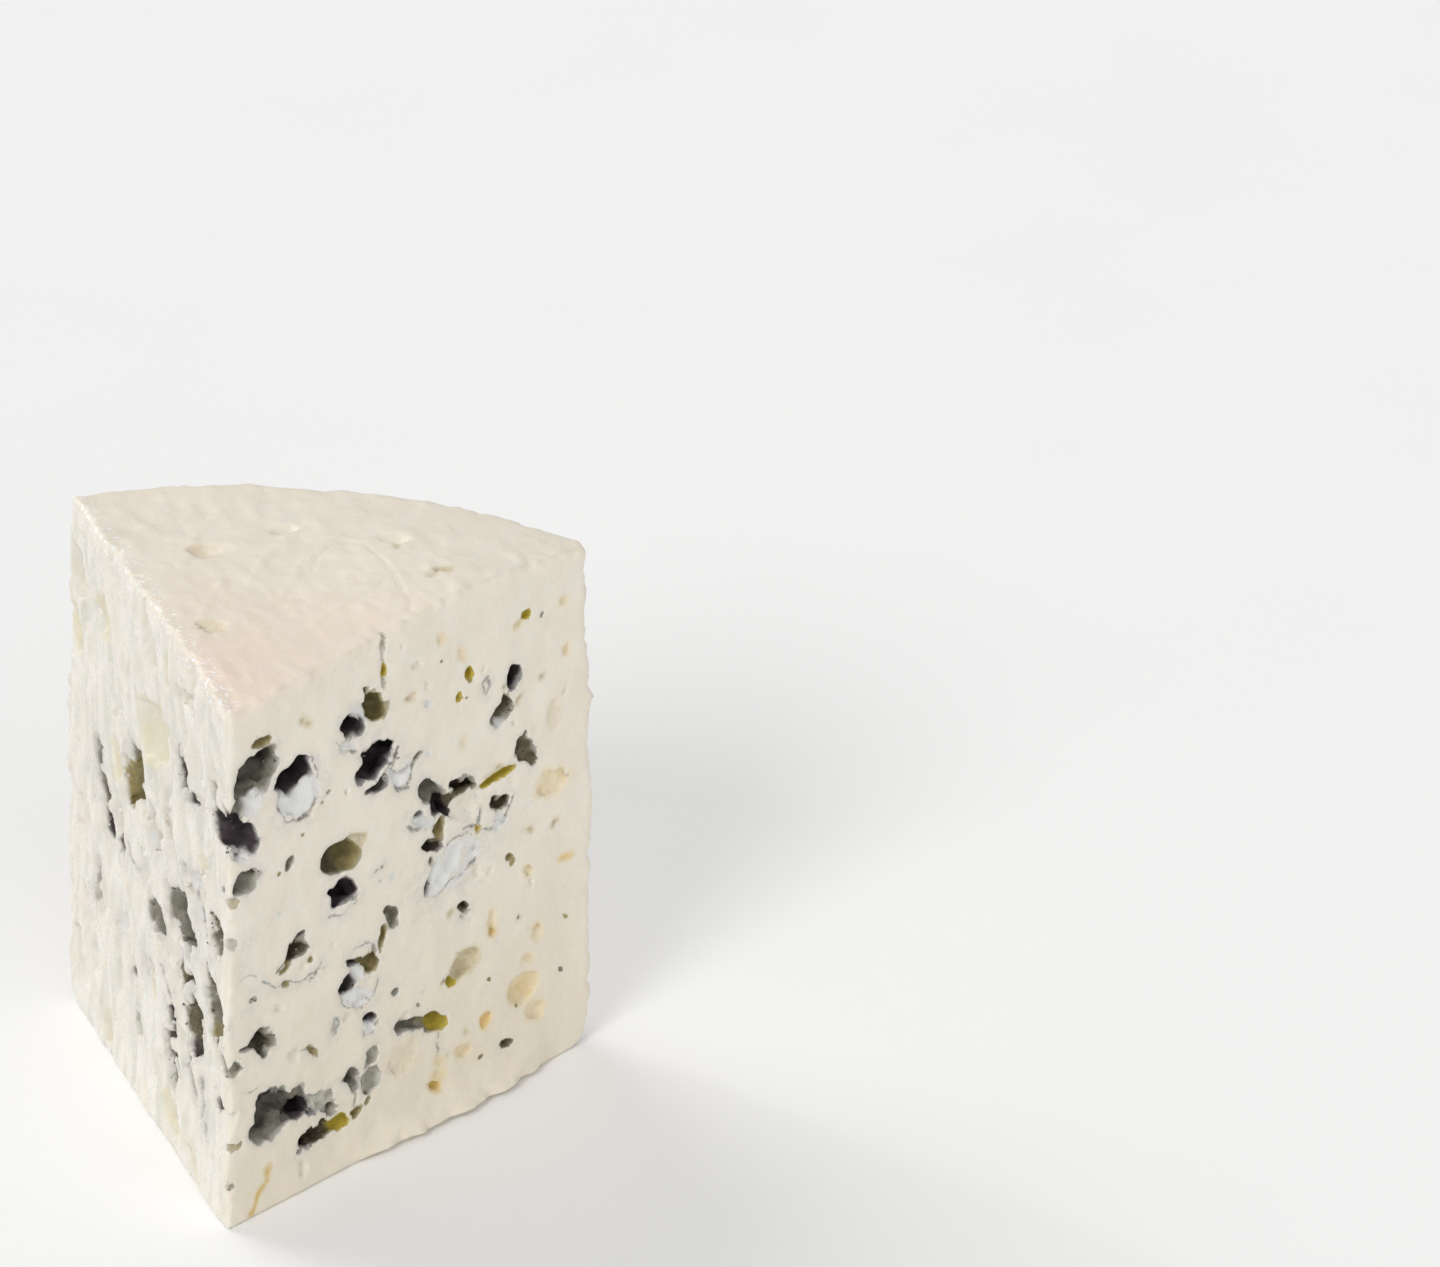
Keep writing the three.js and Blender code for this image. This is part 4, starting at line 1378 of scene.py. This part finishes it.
@dataclass(frozen=True)
class CurdFinish:
    """Moist ivory curd with its mould, read from the piece's attributes.

    Attributes:
        right: Colour of the right cut.
        low: Colour of the right cut near the base.
        left: Colour of the left cut.
        grey_streaks_and_painted_shade: Colour of the greyer streaks in the left cut, partly the curd's own
            tone and partly painted shade for the relief of its drag streaks.
        top: Colour of the top near the rind.
        tip: Colour of the top near the tip.
        rind: Colour of the rind.
        tan: Colour of its darker patches.
        bloom: Colour of the pale bloom on it.
        haze: Colour that mould gives the curd round an eye.
        cloud: Colour of the darker mottling of every face.
        speck: Colour of its paler specks.
        flecks_and_painted_glints: Colour of the pale flecks on the edge of the left cut and the top, partly
            curd flakes and partly painted glints of wet curd.
        thread: Colour that a vein's own is mixed with.
        roughness: How matt the cut curd is.
    """

    right: Colour = (0.855, 0.80, 0.695)
    low: Colour = (0.82, 0.755, 0.625)
    left: Colour = (0.86, 0.825, 0.755)
    grey_streaks_and_painted_shade: Colour = (0.70, 0.69, 0.615)
    top: Colour = (0.87, 0.805, 0.695)
    tip: Colour = (0.87, 0.715, 0.60)
    rind: Colour = (0.88, 0.80, 0.70)
    tan: Colour = (0.78, 0.65, 0.47)
    bloom: Colour = (0.84, 0.83, 0.79)
    haze: Colour = (0.60, 0.585, 0.555)
    cloud: Colour = (0.80, 0.71, 0.57)
    speck: Colour = (0.90, 0.88, 0.82)
    flecks_and_painted_glints: Colour = (0.97, 0.97, 0.96)
    thread: Colour = (0.36, 0.37, 0.375)
    roughness: float = 0.46

    def build(self) -> bpy.types.Material:
        """Makes the material."""
        material, wire, place = new_material("curd")
        zone = wire.add("ShaderNodeSeparateColor", {0: wire.attribute("zone", True)})
        left, top, rind = (zone.outputs[n] for n in range(3))
        where = wire.add("ShaderNodeSeparateXYZ", {0: place})
        colour = self.bare_curd(wire, place, where, left, top, rind)
        fine = wire.grain(place, 0.45, 3.0, 0.6)
        broad = wire.grain(place, 1.9, 3.0, 0.6)
        lined, colour = self.mould(wire, place, colour, fine, broad, left)
        bump = self.bump(wire, place, left, top, lined, fine)
        gloss = wire.ramp(broad, 0.35, 0.65, self.roughness - 0.08, self.roughness + 0.10)
        gloss = wire.maths("MULTIPLY_ADD", left, -0.12, gloss)
        rough = wire.maths("MULTIPLY_ADD", lined, 0.38, gloss)
        moist = wire.ramp(wire.grain(place, 1.6, 2.0, 0.5), 0.56, 0.64)
        moist = wire.maths("MULTIPLY", moist, wire.maths("MULTIPLY_ADD", top, 0.35, left))
        rough = wire.maths("MULTIPLY", rough, wire.maths("MULTIPLY_ADD", moist, -0.50, 1.0))
        depth = wire.ramp(lined, 0.0, 1.0, 0.30, 0.0)
        close_material(wire, {
            "Base Color": colour, "Roughness": rough, "Normal": bump, "Subsurface Weight": depth,
            "Subsurface Radius": LIGHT_TRAVEL, "Subsurface Scale": 2.0 * MM, "IOR": 1.42,
            "Specular IOR Level": 0.42,
        })
        return material

    def bare_curd(self, wire: Wiring, place: object, where: bpy.types.Node, left: object, top: object,
                  rind: object) -> bpy.types.NodeSocket:
        """The curd's colour without mould: each face has its own, and all of them are mottled."""
        height = wire.ramp(where.outputs["Z"], 8.0 * MM, 62.0 * MM)
        right = wire.mix(height, self.low, self.right)
        back = wire.maths("MULTIPLY_ADD", wire.grain(place, 16.0), 0.05, where.outputs["Y"])
        upper = wire.mix(wire.ramp(back, -25.0 * MM, 45.0 * MM), self.tip, self.top)
        # Greyer upright streaks over the left cut: partly the curd's own tone, partly painted shade standing
        # in for the shading of the drag streaks.
        streaks = wire.add("ShaderNodeMapping", {"Vector": place, "Scale": (1.0, 1.0, 0.20)}).outputs[0]
        grey_streaks_and_painted_shade = wire.ramp(wire.grain(streaks, 2.6, 3.0, 0.55), 0.34, 0.70)
        colour = wire.mix(left, right, wire.mix(grey_streaks_and_painted_shade, self.left, self.grey_streaks_and_painted_shade))
        colour = wire.mix(top, colour, upper)
        tanned = wire.ramp(wire.grain(place, 5.0, 4.0, 0.6), 0.45, 0.68)
        bloom = wire.ramp(wire.grain(place, 3.2, 4.0, 0.65), 0.54, 0.70)
        skin = wire.mix(wire.maths("MULTIPLY", tanned, 0.55), self.rind, self.tan)
        skin = wire.mix(wire.maths("MULTIPLY", bloom, 0.5), skin, self.bloom)
        colour = wire.mix(rind, colour, skin)
        cloud = wire.ramp(wire.grain(place, 7.0, 3.0), 0.35, 0.68)
        colour = wire.mix(wire.maths("MULTIPLY", cloud, 0.30), colour, self.cloud)
        speck = wire.ramp(wire.grain(place, 2.2, 4.0, 0.65), 0.56, 0.74)
        colour = wire.mix(wire.maths("MULTIPLY", speck, 0.22), colour, self.speck)
        # Pale flecks along the edge of the left cut and the top: partly thin curd flakes, partly painted
        # glints where the wet curd would sparkle.
        edge = wire.ramp(wire.maths("MULTIPLY", left, top), 0.02, 0.16)
        flecks_and_painted_glints = wire.ramp(wire.grain(place, 0.9, 2.0, 0.6), 0.56, 0.63)
        return wire.mix(wire.maths("MULTIPLY", edge, flecks_and_painted_glints), colour, self.flecks_and_painted_glints)

    def mould(self, wire: Wiring, place: object, colour: object, fine: object, broad: object,
              left: object) -> tuple[bpy.types.NodeSocket, bpy.types.NodeSocket]:
        """Lays the haze, the vein lines and the eyes' linings over the curd's colour, with painted shade that
        darkens each lining the deeper it lies.

        Args:
            wire: The tree's wiring.
            place: Object coordinates.
            colour: The bare curd's colour.
            fine: Noise with small grains.
            broad: Noise with larger grains.
            left: The left cut's share, where mould begins deeper down.

        Returns:
            How fully mould covers a place, and the colour with mould and with the painted shade of its
            linings.
        """
        soaked = wire.maths("MULTIPLY", wire.attribute("stain"), wire.ramp(broad, 0.30, 0.60, 0.55, 1.0))
        colour = wire.mix(soaked, colour, wire.attribute("stain_lining", True))
        halo = wire.attribute("halo")
        patch = wire.ramp(wire.maths("ADD", broad, fine), 0.80, 1.25)
        haze = wire.maths("MULTIPLY", halo, wire.maths("MULTIPLY_ADD", patch, 0.55, 0.20))
        colour = wire.mix(haze, colour, self.haze)
        wobble = wire.maths("MULTIPLY_ADD", fine, 0.9, -0.45)
        vein = wire.maths("ADD", wire.attribute("vein_apart"), wobble)
        thread = wire.ramp(vein, -0.05, 0.30, 1.0, 0.0)
        strength = wire.maths("MULTIPLY", thread, wire.ramp(broad, 0.36, 0.56, 0.30, 0.92))
        drawn = wire.mix(0.45, wire.attribute("vein_lining", True), self.thread)
        colour = wire.mix(strength, colour, drawn)
        eye = wire.maths("ADD", wire.attribute("eye_apart"), wire.maths("MULTIPLY", wobble, 0.45))
        lined = wire.ramp(eye, 0.10, 0.34, 1.0, 0.0)
        sunk = wire.ramp(wire.maths("MULTIPLY_ADD", broad, 1.2, wire.attribute("deep")), 0.9, 2.0, 1.0, 0.0)
        spared = wire.maths("MULTIPLY", wire.maths("MULTIPLY", sunk, left), lined)
        lined = wire.maths("SUBTRACT", lined, spared)
        lining = wire.attribute("lining", True)
        pale = wire.ramp(wire.add("ShaderNodeSeparateColor", {0: lining}).outputs[1], 0.40, 0.60)
        dusty = wire.maths("SUBTRACT", 1.0, pale)
        fuzz = wire.ramp(wire.grain(place, 1.5, 4.0, 0.65), 0.30, 0.70, 0.80, 1.18)
        # Painted shade in the eyes: a lining is a little lighter just under the rim and darker the deeper it
        # lies, where shade falls.
        deep = wire.maths("MULTIPLY_ADD", broad, 1.6, wire.attribute("deep"))
        painted_depth_shade = wire.ramp(deep, 1.2, 5.5, 1.12, 0.42)
        mottle_and_painted_shade = wire.maths("MULTIPLY_ADD", wire.maths("MULTIPLY", fuzz, painted_depth_shade), dusty, pale)
        shade = wire.add("ShaderNodeVectorMath", {0: lining, "Scale": mottle_and_painted_shade}, operation="SCALE").outputs[0]
        edge = wire.ramp(deep, 0.7, 2.1, 0.55, 0.0)
        edge = wire.maths("MULTIPLY", edge, wire.maths("MULTIPLY", halo, dusty))
        shade = wire.mix(edge, shade, self.haze)
        return lined, wire.mix(lined, colour, shade)

    def bump(self, wire: Wiring, place: object, left: object, top: object, lined: object,
             fine: object) -> bpy.types.NodeSocket:
        """The finest roughness: grit and pile, fading out towards the left cut, whose streaks are carved."""
        grit = wire.grain(place, 0.9, 2.0, 0.5)
        pile = wire.maths("MULTIPLY", fine, wire.maths("MULTIPLY_ADD", lined, 1.4, 0.35))
        drawn = wire.add("ShaderNodeMapping", {"Vector": place, "Scale": (1.0, 1.0, 0.16)}).outputs[0]
        streaked = wire.maths("MULTIPLY_ADD", left, 0.7, 0.1)
        drag = wire.maths("MULTIPLY", wire.grain(drawn, 1.1, 1.0, 0.5), streaked)
        height = wire.maths("ADD", wire.maths("ADD", grit, pile), drag)
        height = wire.maths("MULTIPLY", height, wire.maths("MULTIPLY_ADD", left, -1.0, 1.0))
        return wire.bump(height, 0.30, 0.22)


@dataclass(frozen=True)
class CrumbFinish:
    """Loose curd, whiter and a little glossier than the cut.

    Attributes:
        dry: Colour of most of a crumb.
        moist: Colour of its moist patches.
    """

    dry: Colour = (0.86, 0.82, 0.74)
    moist: Colour = (0.78, 0.72, 0.62)

    def build(self) -> bpy.types.Material:
        """Makes the material."""
        material, wire, place = new_material("crumb_curd")
        patch = wire.ramp(wire.grain(place, 1.6, 3.0), 0.4, 0.62)
        rough = wire.ramp(wire.grain(place, 0.5), 0.3, 0.7, 0.36, 0.6)
        close_material(wire, {
            "Base Color": wire.mix(patch, self.dry, self.moist), "Roughness": rough,
            "Normal": wire.bump(wire.grain(place, 0.3), 0.3, 0.1),
            "Subsurface Weight": 0.15, "Subsurface Radius": LIGHT_TRAVEL, "Subsurface Scale": 1.0 * MM,
        })
        return material


@dataclass(frozen=True)
class MouldFinish:
    """Dry tufts of mould, from nearly black to grey green.

    Attributes:
        dark: Colour of old, dense tufts.
        pale: Colour of young tufts with white tips.
    """

    dark: Colour = (0.10, 0.09, 0.065)
    pale: Colour = (0.24, 0.225, 0.17)

    def build(self) -> bpy.types.Material:
        """Makes the material."""
        material, wire, place = new_material("mould_tuft")
        patch = wire.ramp(wire.grain(place, 1.8, 3.0, 0.6), 0.40, 0.68)
        rough = wire.ramp(wire.grain(place, 0.3), 0.3, 0.7, 0.8, 0.95)
        close_material(wire, {
            "Base Color": wire.mix(patch, self.dark, self.pale), "Roughness": rough,
            "Normal": wire.bump(wire.grain(place, 0.2), 0.5, 0.1),
            "Specular IOR Level": 0.1,
        })
        return material


@dataclass(frozen=True)
class TableFinish:
    """A plain pale table.

    Attributes:
        colour: Its colour.
    """

    colour: Colour = (0.97, 0.97, 0.965)

    def build(self) -> bpy.types.Material:
        """Makes the material."""
        material, wire, place = new_material("pale_table")
        rough = wire.ramp(wire.grain(place, 60.0), 0.3, 0.7, 0.6, 0.7)
        close_material(wire, {"Base Color": self.colour + (1.0,), "Roughness": rough})
        return material


# ------------------------------------------------------- crumbs and mould tufts


@dataclass
class Scatter:
    """Small closed lumps strewn over the wedge where one of its attributes is high.

    Attributes:
        name: Name of the piece made.
        chance: Name of the attribute that says where lumps may lie.
        count: Lumps for each square centimetre where the attribute is one.
        smallest: Smallest lump across, in millimetres.
        largest: Largest lump across, in millimetres.
        flat: How flat a lump is, 1 for round.
        seed: Picks the pattern.
        dent: How far dents reach, as a share of the smallest lump.
        dent_size: Size of one dent, in millimetres.
        longest: How much longer than broad a lump may be, least and most.
        uneven: How much rarer large lumps are than small ones.
    """

    name: str
    chance: str
    count: float
    smallest: float
    largest: float
    flat: float
    seed: int
    dent: float = 1.1
    dent_size: float = 0.45
    longest: tuple[float, float] = (0.6, 1.5)
    uneven: float = 2.5

    def chance_from(self, wire: Wiring, draw: int, low: float, high: float) -> bpy.types.NodeSocket:
        """A random number for each lump, the draw's number telling it from the others."""
        inputs = {"Seed": self.seed + draw, 2: low, 3: high}
        return wire.add("FunctionNodeRandomValue", inputs, data_type="FLOAT").outputs[1]

    def tree(self, material: bpy.types.Material) -> bpy.types.GeometryNodeTree:
        """Makes the node tree: points on the surface, and a dented lump of the material on each."""
        tree = bpy.data.node_groups.new(f"strew_{self.name}", "GeometryNodeTree")
        wire = Wiring(tree)
        face = tree.interface
        face.new_socket("Geometry", in_out="INPUT", socket_type="NodeSocketGeometry")
        for label in ("Density", "Smallest", "Largest", "Flatness"):
            face.new_socket(label, in_out="INPUT", socket_type="NodeSocketFloat")
        face.new_socket("Geometry", in_out="OUTPUT", socket_type="NodeSocketGeometry")
        given = wire.add("NodeGroupInput")
        chance = wire.add("GeometryNodeInputNamedAttribute", {"Name": self.chance}, data_type="FLOAT")
        density = wire.maths("MULTIPLY", given.outputs["Density"], chance.outputs["Attribute"])
        strew = wire.add("GeometryNodeDistributePointsOnFaces",
                         {"Mesh": given.outputs["Geometry"], "Density": density, "Seed": self.seed})
        uneven = wire.maths("POWER", self.chance_from(wire, 1, 0.0, 1.0), self.uneven)
        across = wire.add("ShaderNodeMapRange", {
            "Value": uneven, "To Min": given.outputs["Smallest"], "To Max": given.outputs["Largest"],
        }).outputs["Result"]
        flat = wire.maths("MULTIPLY", across, given.outputs["Flatness"])
        longer = wire.maths("MULTIPLY", across, self.chance_from(wire, 2, *self.longest))
        scale = wire.add("ShaderNodeCombineXYZ", {0: across, 1: longer, 2: flat})
        spin = self.chance_from(wire, 3, 0.0, math.tau)
        turn = wire.add("FunctionNodeAxisAngleToRotation", {"Axis": (0.0, 0.0, 1.0), "Angle": spin})
        turned = wire.add("FunctionNodeRotateRotation", {
            "Rotation": strew.outputs["Rotation"], "Rotate By": turn.outputs[0],
        }, rotation_space="LOCAL")
        lump = wire.add("GeometryNodeMeshIcoSphere", {"Radius": 0.5, "Subdivisions": 2})
        placed = wire.add("GeometryNodeInstanceOnPoints", {
            "Points": strew.outputs["Points"], "Instance": lump.outputs["Mesh"],
            "Rotation": turned.outputs[0], "Scale": scale.outputs[0],
        })
        real = wire.add("GeometryNodeRealizeInstances", {"Geometry": placed.outputs[0]})
        shift = self.dents(wire)
        dented = wire.add("GeometryNodeSetPosition", {"Geometry": real.outputs[0], "Offset": shift})
        smooth = wire.add("GeometryNodeSetShadeSmooth", {"Geometry": dented.outputs[0]})
        painted = wire.add("GeometryNodeSetMaterial", {"Geometry": smooth.outputs[0], "Material": material})
        wire.add("NodeGroupOutput", {"Geometry": painted.outputs[0]})
        return tree

    def dents(self, wire: Wiring) -> bpy.types.NodeSocket:
        """How far each place of a lump is moved, so that no lump is quite round."""
        spot = wire.add("GeometryNodeInputPosition").outputs[0]
        noise = wire.add("ShaderNodeTexNoise",
                         {"Vector": spot, "Scale": 1.0 / (self.dent_size * MM), "Detail": 1.0})
        away = wire.add("ShaderNodeVectorMath", {0: noise.outputs["Color"], 1: (0.5, 0.5, 0.5)},
                        operation="SUBTRACT")
        reach = self.dent * self.smallest * MM
        shift = wire.add("ShaderNodeVectorMath", {0: away.outputs[0], "Scale": reach}, operation="SCALE")
        return shift.outputs[0]

    def build(self, ground: bpy.types.Object, material: bpy.types.Material) -> bpy.types.Object:
        """Strews the lumps.

        Args:
            ground: The piece whose surface they lie on.
            material: Their finish.

        Returns:
            A piece of plain mesh with every lump.
        """
        piece = bpy.data.objects.new(self.name, ground.data.copy())
        bpy.context.scene.collection.objects.link(piece)
        tree = self.tree(material)
        modifier = piece.modifiers.new("strew", "NODES")
        modifier.node_group = tree
        sizes = {"Density": self.count * 1e4, "Smallest": self.smallest * MM, "Largest": self.largest * MM,
                 "Flatness": self.flat}
        for item in tree.interface.items_tree:
            if item.in_out == "INPUT" and item.name in sizes:
                modifier[item.identifier] = sizes[item.name]
        bake_modifiers(piece)
        piece.data.name = self.name
        piece.data.materials.clear()
        piece.data.materials.append(material)
        piece.data.polygons.foreach_set("material_index", np.zeros(len(piece.data.polygons), np.int32))
        return piece


def write_chances(cheese: bpy.types.Object) -> None:
    """Writes where crumbs of curd and tufts of mould may lie, from the wedge's other attributes."""
    mesh = cheese.data
    count = len(mesh.vertices)

    def numbers(name: str, width: int) -> Array:
        """Reads an attribute of the wedge."""
        values = np.empty(count * width, np.float32)
        mesh.attributes[name].data.foreach_get("value" if width == 1 else "color", values)
        return values.reshape(count, width) if width > 1 else values

    eye, halo = numbers("eye_apart", 1), numbers("halo", 1)
    left, green = numbers("zone", 4)[:, 0], numbers("lining", 4)[:, 1]
    dark = step_up(0.06, 0.10, green) * (1.0 - step_up(0.16, 0.26, green))
    walls = 1.0 - step_up(0.0, 0.18, eye)
    tufts = walls * dark
    place = vertex_places(mesh) / MM
    clumps = step_up(0.05, 0.6, Grain(SEED + 7).at(place[:, 0], place[:, 1], place[:, 2], 5.0))
    rims = step_up(0.05, 0.4, eye) * (1.0 - step_up(0.8, 1.8, eye))
    crumbs = left * rims * (0.5 + 2.0 * clumps) + 0.8 * rims * (halo > 0.2) * clumps
    crumbs = crumbs * (1.0 - walls)
    low_down = step_up(1.2, 2.5, place[:, 2])
    for name, values in (("tuft_chance", tufts * low_down), ("crumb_chance", crumbs * low_down)):
        mesh.attributes.new(name, "FLOAT", "POINT").data.foreach_set("value", values.astype(np.float32))


# ------------------------------------------------------------------ the studio


@dataclass(frozen=True)
class SoftLight:
    """A large soft lamp, far enough away to light everything alike.

    Attributes:
        name: Its name.
        towards: The way from the wedge to the lamp.
        spread: How wide it looks from the wedge, in degrees.
        share: How bright a white card facing it would look by its light alone.
        colour: Its colour.
    """

    name: str
    towards: tuple[float, float, float]
    spread: float
    share: float
    colour: Colour = (1.0, 1.0, 1.0)

    def build(self) -> bpy.types.Object:
        """Hangs the lamp."""
        lamp = bpy.data.lights.new(self.name, "SUN")
        lamp.angle = math.radians(self.spread)
        lamp.energy, lamp.color = self.share * math.pi, self.colour
        made = bpy.data.objects.new(self.name, lamp)
        made.location = Vector(self.towards).normalized()
        made.rotation_euler = Vector(self.towards).to_track_quat("Z", "Y").to_euler()
        bpy.context.scene.collection.objects.link(made)
        return made


@dataclass
class Studio:
    """The camera, the lamps, the backdrop's light and the table.

    Attributes:
        axis: Where the wheel's axis stands, in millimetres.
        azimuth: How far the camera stands round from the front, in degrees.
        elevation: How high it stands above the level, in degrees.
        distance: How far it stands from the wedge's axis at mid height, in metres.
        aim: How far its sight passes to the right of that point and above it, in metres.
        lens: Its lens, in millimetres.
        room_light: Strength of the room's even light.
        table_size: The table's number of sides, its radius and its thickness, in metres.
        lamps: The lamps.
    """

    axis: tuple[float, float]
    azimuth: float = 11.245
    elevation: float = 28.121
    distance: float = 2.1
    aim: tuple[float, float] = (0.08052, 0.04074)
    lens: float = 277.94
    room_light: float = 0.42
    table_size: tuple[int, float, float] = (96, 3.0, 0.02)
    lamps: tuple[SoftLight, ...] = (
        SoftLight("key_lamp", (-0.25, -0.75, 0.60), 24.0, 0.34),
        SoftLight("fill_lamp", (0.60, -0.70, 0.40), 50.0, 0.19),
        SoftLight("back_lamp", (-0.62, 0.40, 0.60), 44.0, 0.31),
        SoftLight("glint_lamp", (-0.80, 0.40, 0.42), 4.0, 0.06),
    )

    def camera(self) -> bpy.types.Object:
        """Sets the camera up."""
        turn, rise = math.radians(self.azimuth), math.radians(self.elevation)
        back = Vector((math.sin(turn) * math.cos(rise), -math.cos(turn) * math.cos(rise), math.sin(rise)))
        right = Vector((math.cos(turn), math.sin(turn), 0.0))
        up = back.cross(right)
        heart = Vector((self.axis[0] * MM, (self.axis[1] + WHEEL_MIDDLE) * MM, WedgeShape.height / 2 * MM))
        lens = bpy.data.cameras.new("camera")
        lens.lens, lens.sensor_width = self.lens, SENSOR
        lens.clip_start, lens.clip_end = 0.1, 20.0
        made = bpy.data.objects.new("camera", lens)
        made.location = heart + back * self.distance + right * self.aim[0] + up * self.aim[1]
        made.rotation_euler = Matrix((right, up, back)).transposed().to_euler()
        bpy.context.scene.collection.objects.link(made)
        bpy.context.scene.camera = made
        return made

    def air(self) -> None:
        """Gives the room its even white light."""
        world = bpy.data.worlds.new("white_room")
        world.use_nodes = True
        wire = Wiring(world.node_tree)
        light = wire.add("ShaderNodeBackground", {"Color": (1.0, 1.0, 1.0, 1.0), "Strength": self.room_light})
        wire.add("ShaderNodeOutputWorld", {"Surface": light.outputs[0]})
        bpy.context.scene.world = world
        bpy.context.scene.view_settings.view_transform = "Standard"

    def table(self) -> bpy.types.Object:
        """Lays the table: a wide round top of a little thickness."""
        mesh = bpy.data.meshes.new("table")
        made = bpy.data.objects.new("table", mesh)
        sides, radius, thick = self.table_size
        turns = [n * math.tau / sides for n in range(sides)]
        ring = [Vector((math.cos(turn), math.sin(turn), 0.0)) * radius for turn in turns]
        below = [place - Vector((0.0, 0.0, thick)) for place in ring]
        top, base = tuple(range(sides)), tuple(range(2 * sides - 1, sides - 1, -1))
        band = [(n, n + sides, (n + 1) % sides + sides, (n + 1) % sides) for n in range(sides)]
        mesh.from_pydata(ring + below, [], [top, base, *band])
        mesh.materials.append(TableFinish().build())
        bpy.context.scene.collection.objects.link(made)
        return made

    def build(self) -> None:
        """Sets up everything in the studio."""
        self.camera()
        self.air()
        self.table()
        for lamp in self.lamps:
            lamp.build()


# ------------------------------------------------------------------- the making


def report(piece: bpy.types.Object) -> None:
    """Logs a piece's name, triangles and size."""
    mesh = piece.data
    triangles = sum(len(face.vertices) - 2 for face in mesh.polygons)
    LOG.info("%s: %d triangles, %s mm", piece.name, triangles,
             " x ".join(f"{side / MM:.1f}" for side in piece.dimensions))


def main() -> None:
    """Builds the studio, the wedge and what lies on it."""
    logging.basicConfig(level=logging.INFO, format="%(name)s: %(message)s")
    axis = find_axis(WEDGE_NODE)
    Studio(axis).build()
    cheese = CheeseBlock(CurdCarving(WedgeShape(axis))).build()
    write_chances(cheese)
    cheese.data.materials.append(CurdFinish().build())
    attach(cheese, BODY)
    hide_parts(WEDGE_NODE)
    report(cheese)
    strewn = (
        (Scatter("mould_tufts", "tuft_chance", count=60.0, smallest=0.25, largest=0.65, flat=0.75, seed=11),
         MouldFinish()),
        (Scatter("curd_crumbs", "crumb_chance", count=7.0, smallest=0.35, largest=1.00, flat=0.60, seed=23),
         CrumbFinish()),
    )
    for scatter, finish in strewn:
        piece = scatter.build(cheese, finish.build())
        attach(piece, BODY)
        report(piece)


if __name__ == "__main__":
    main()
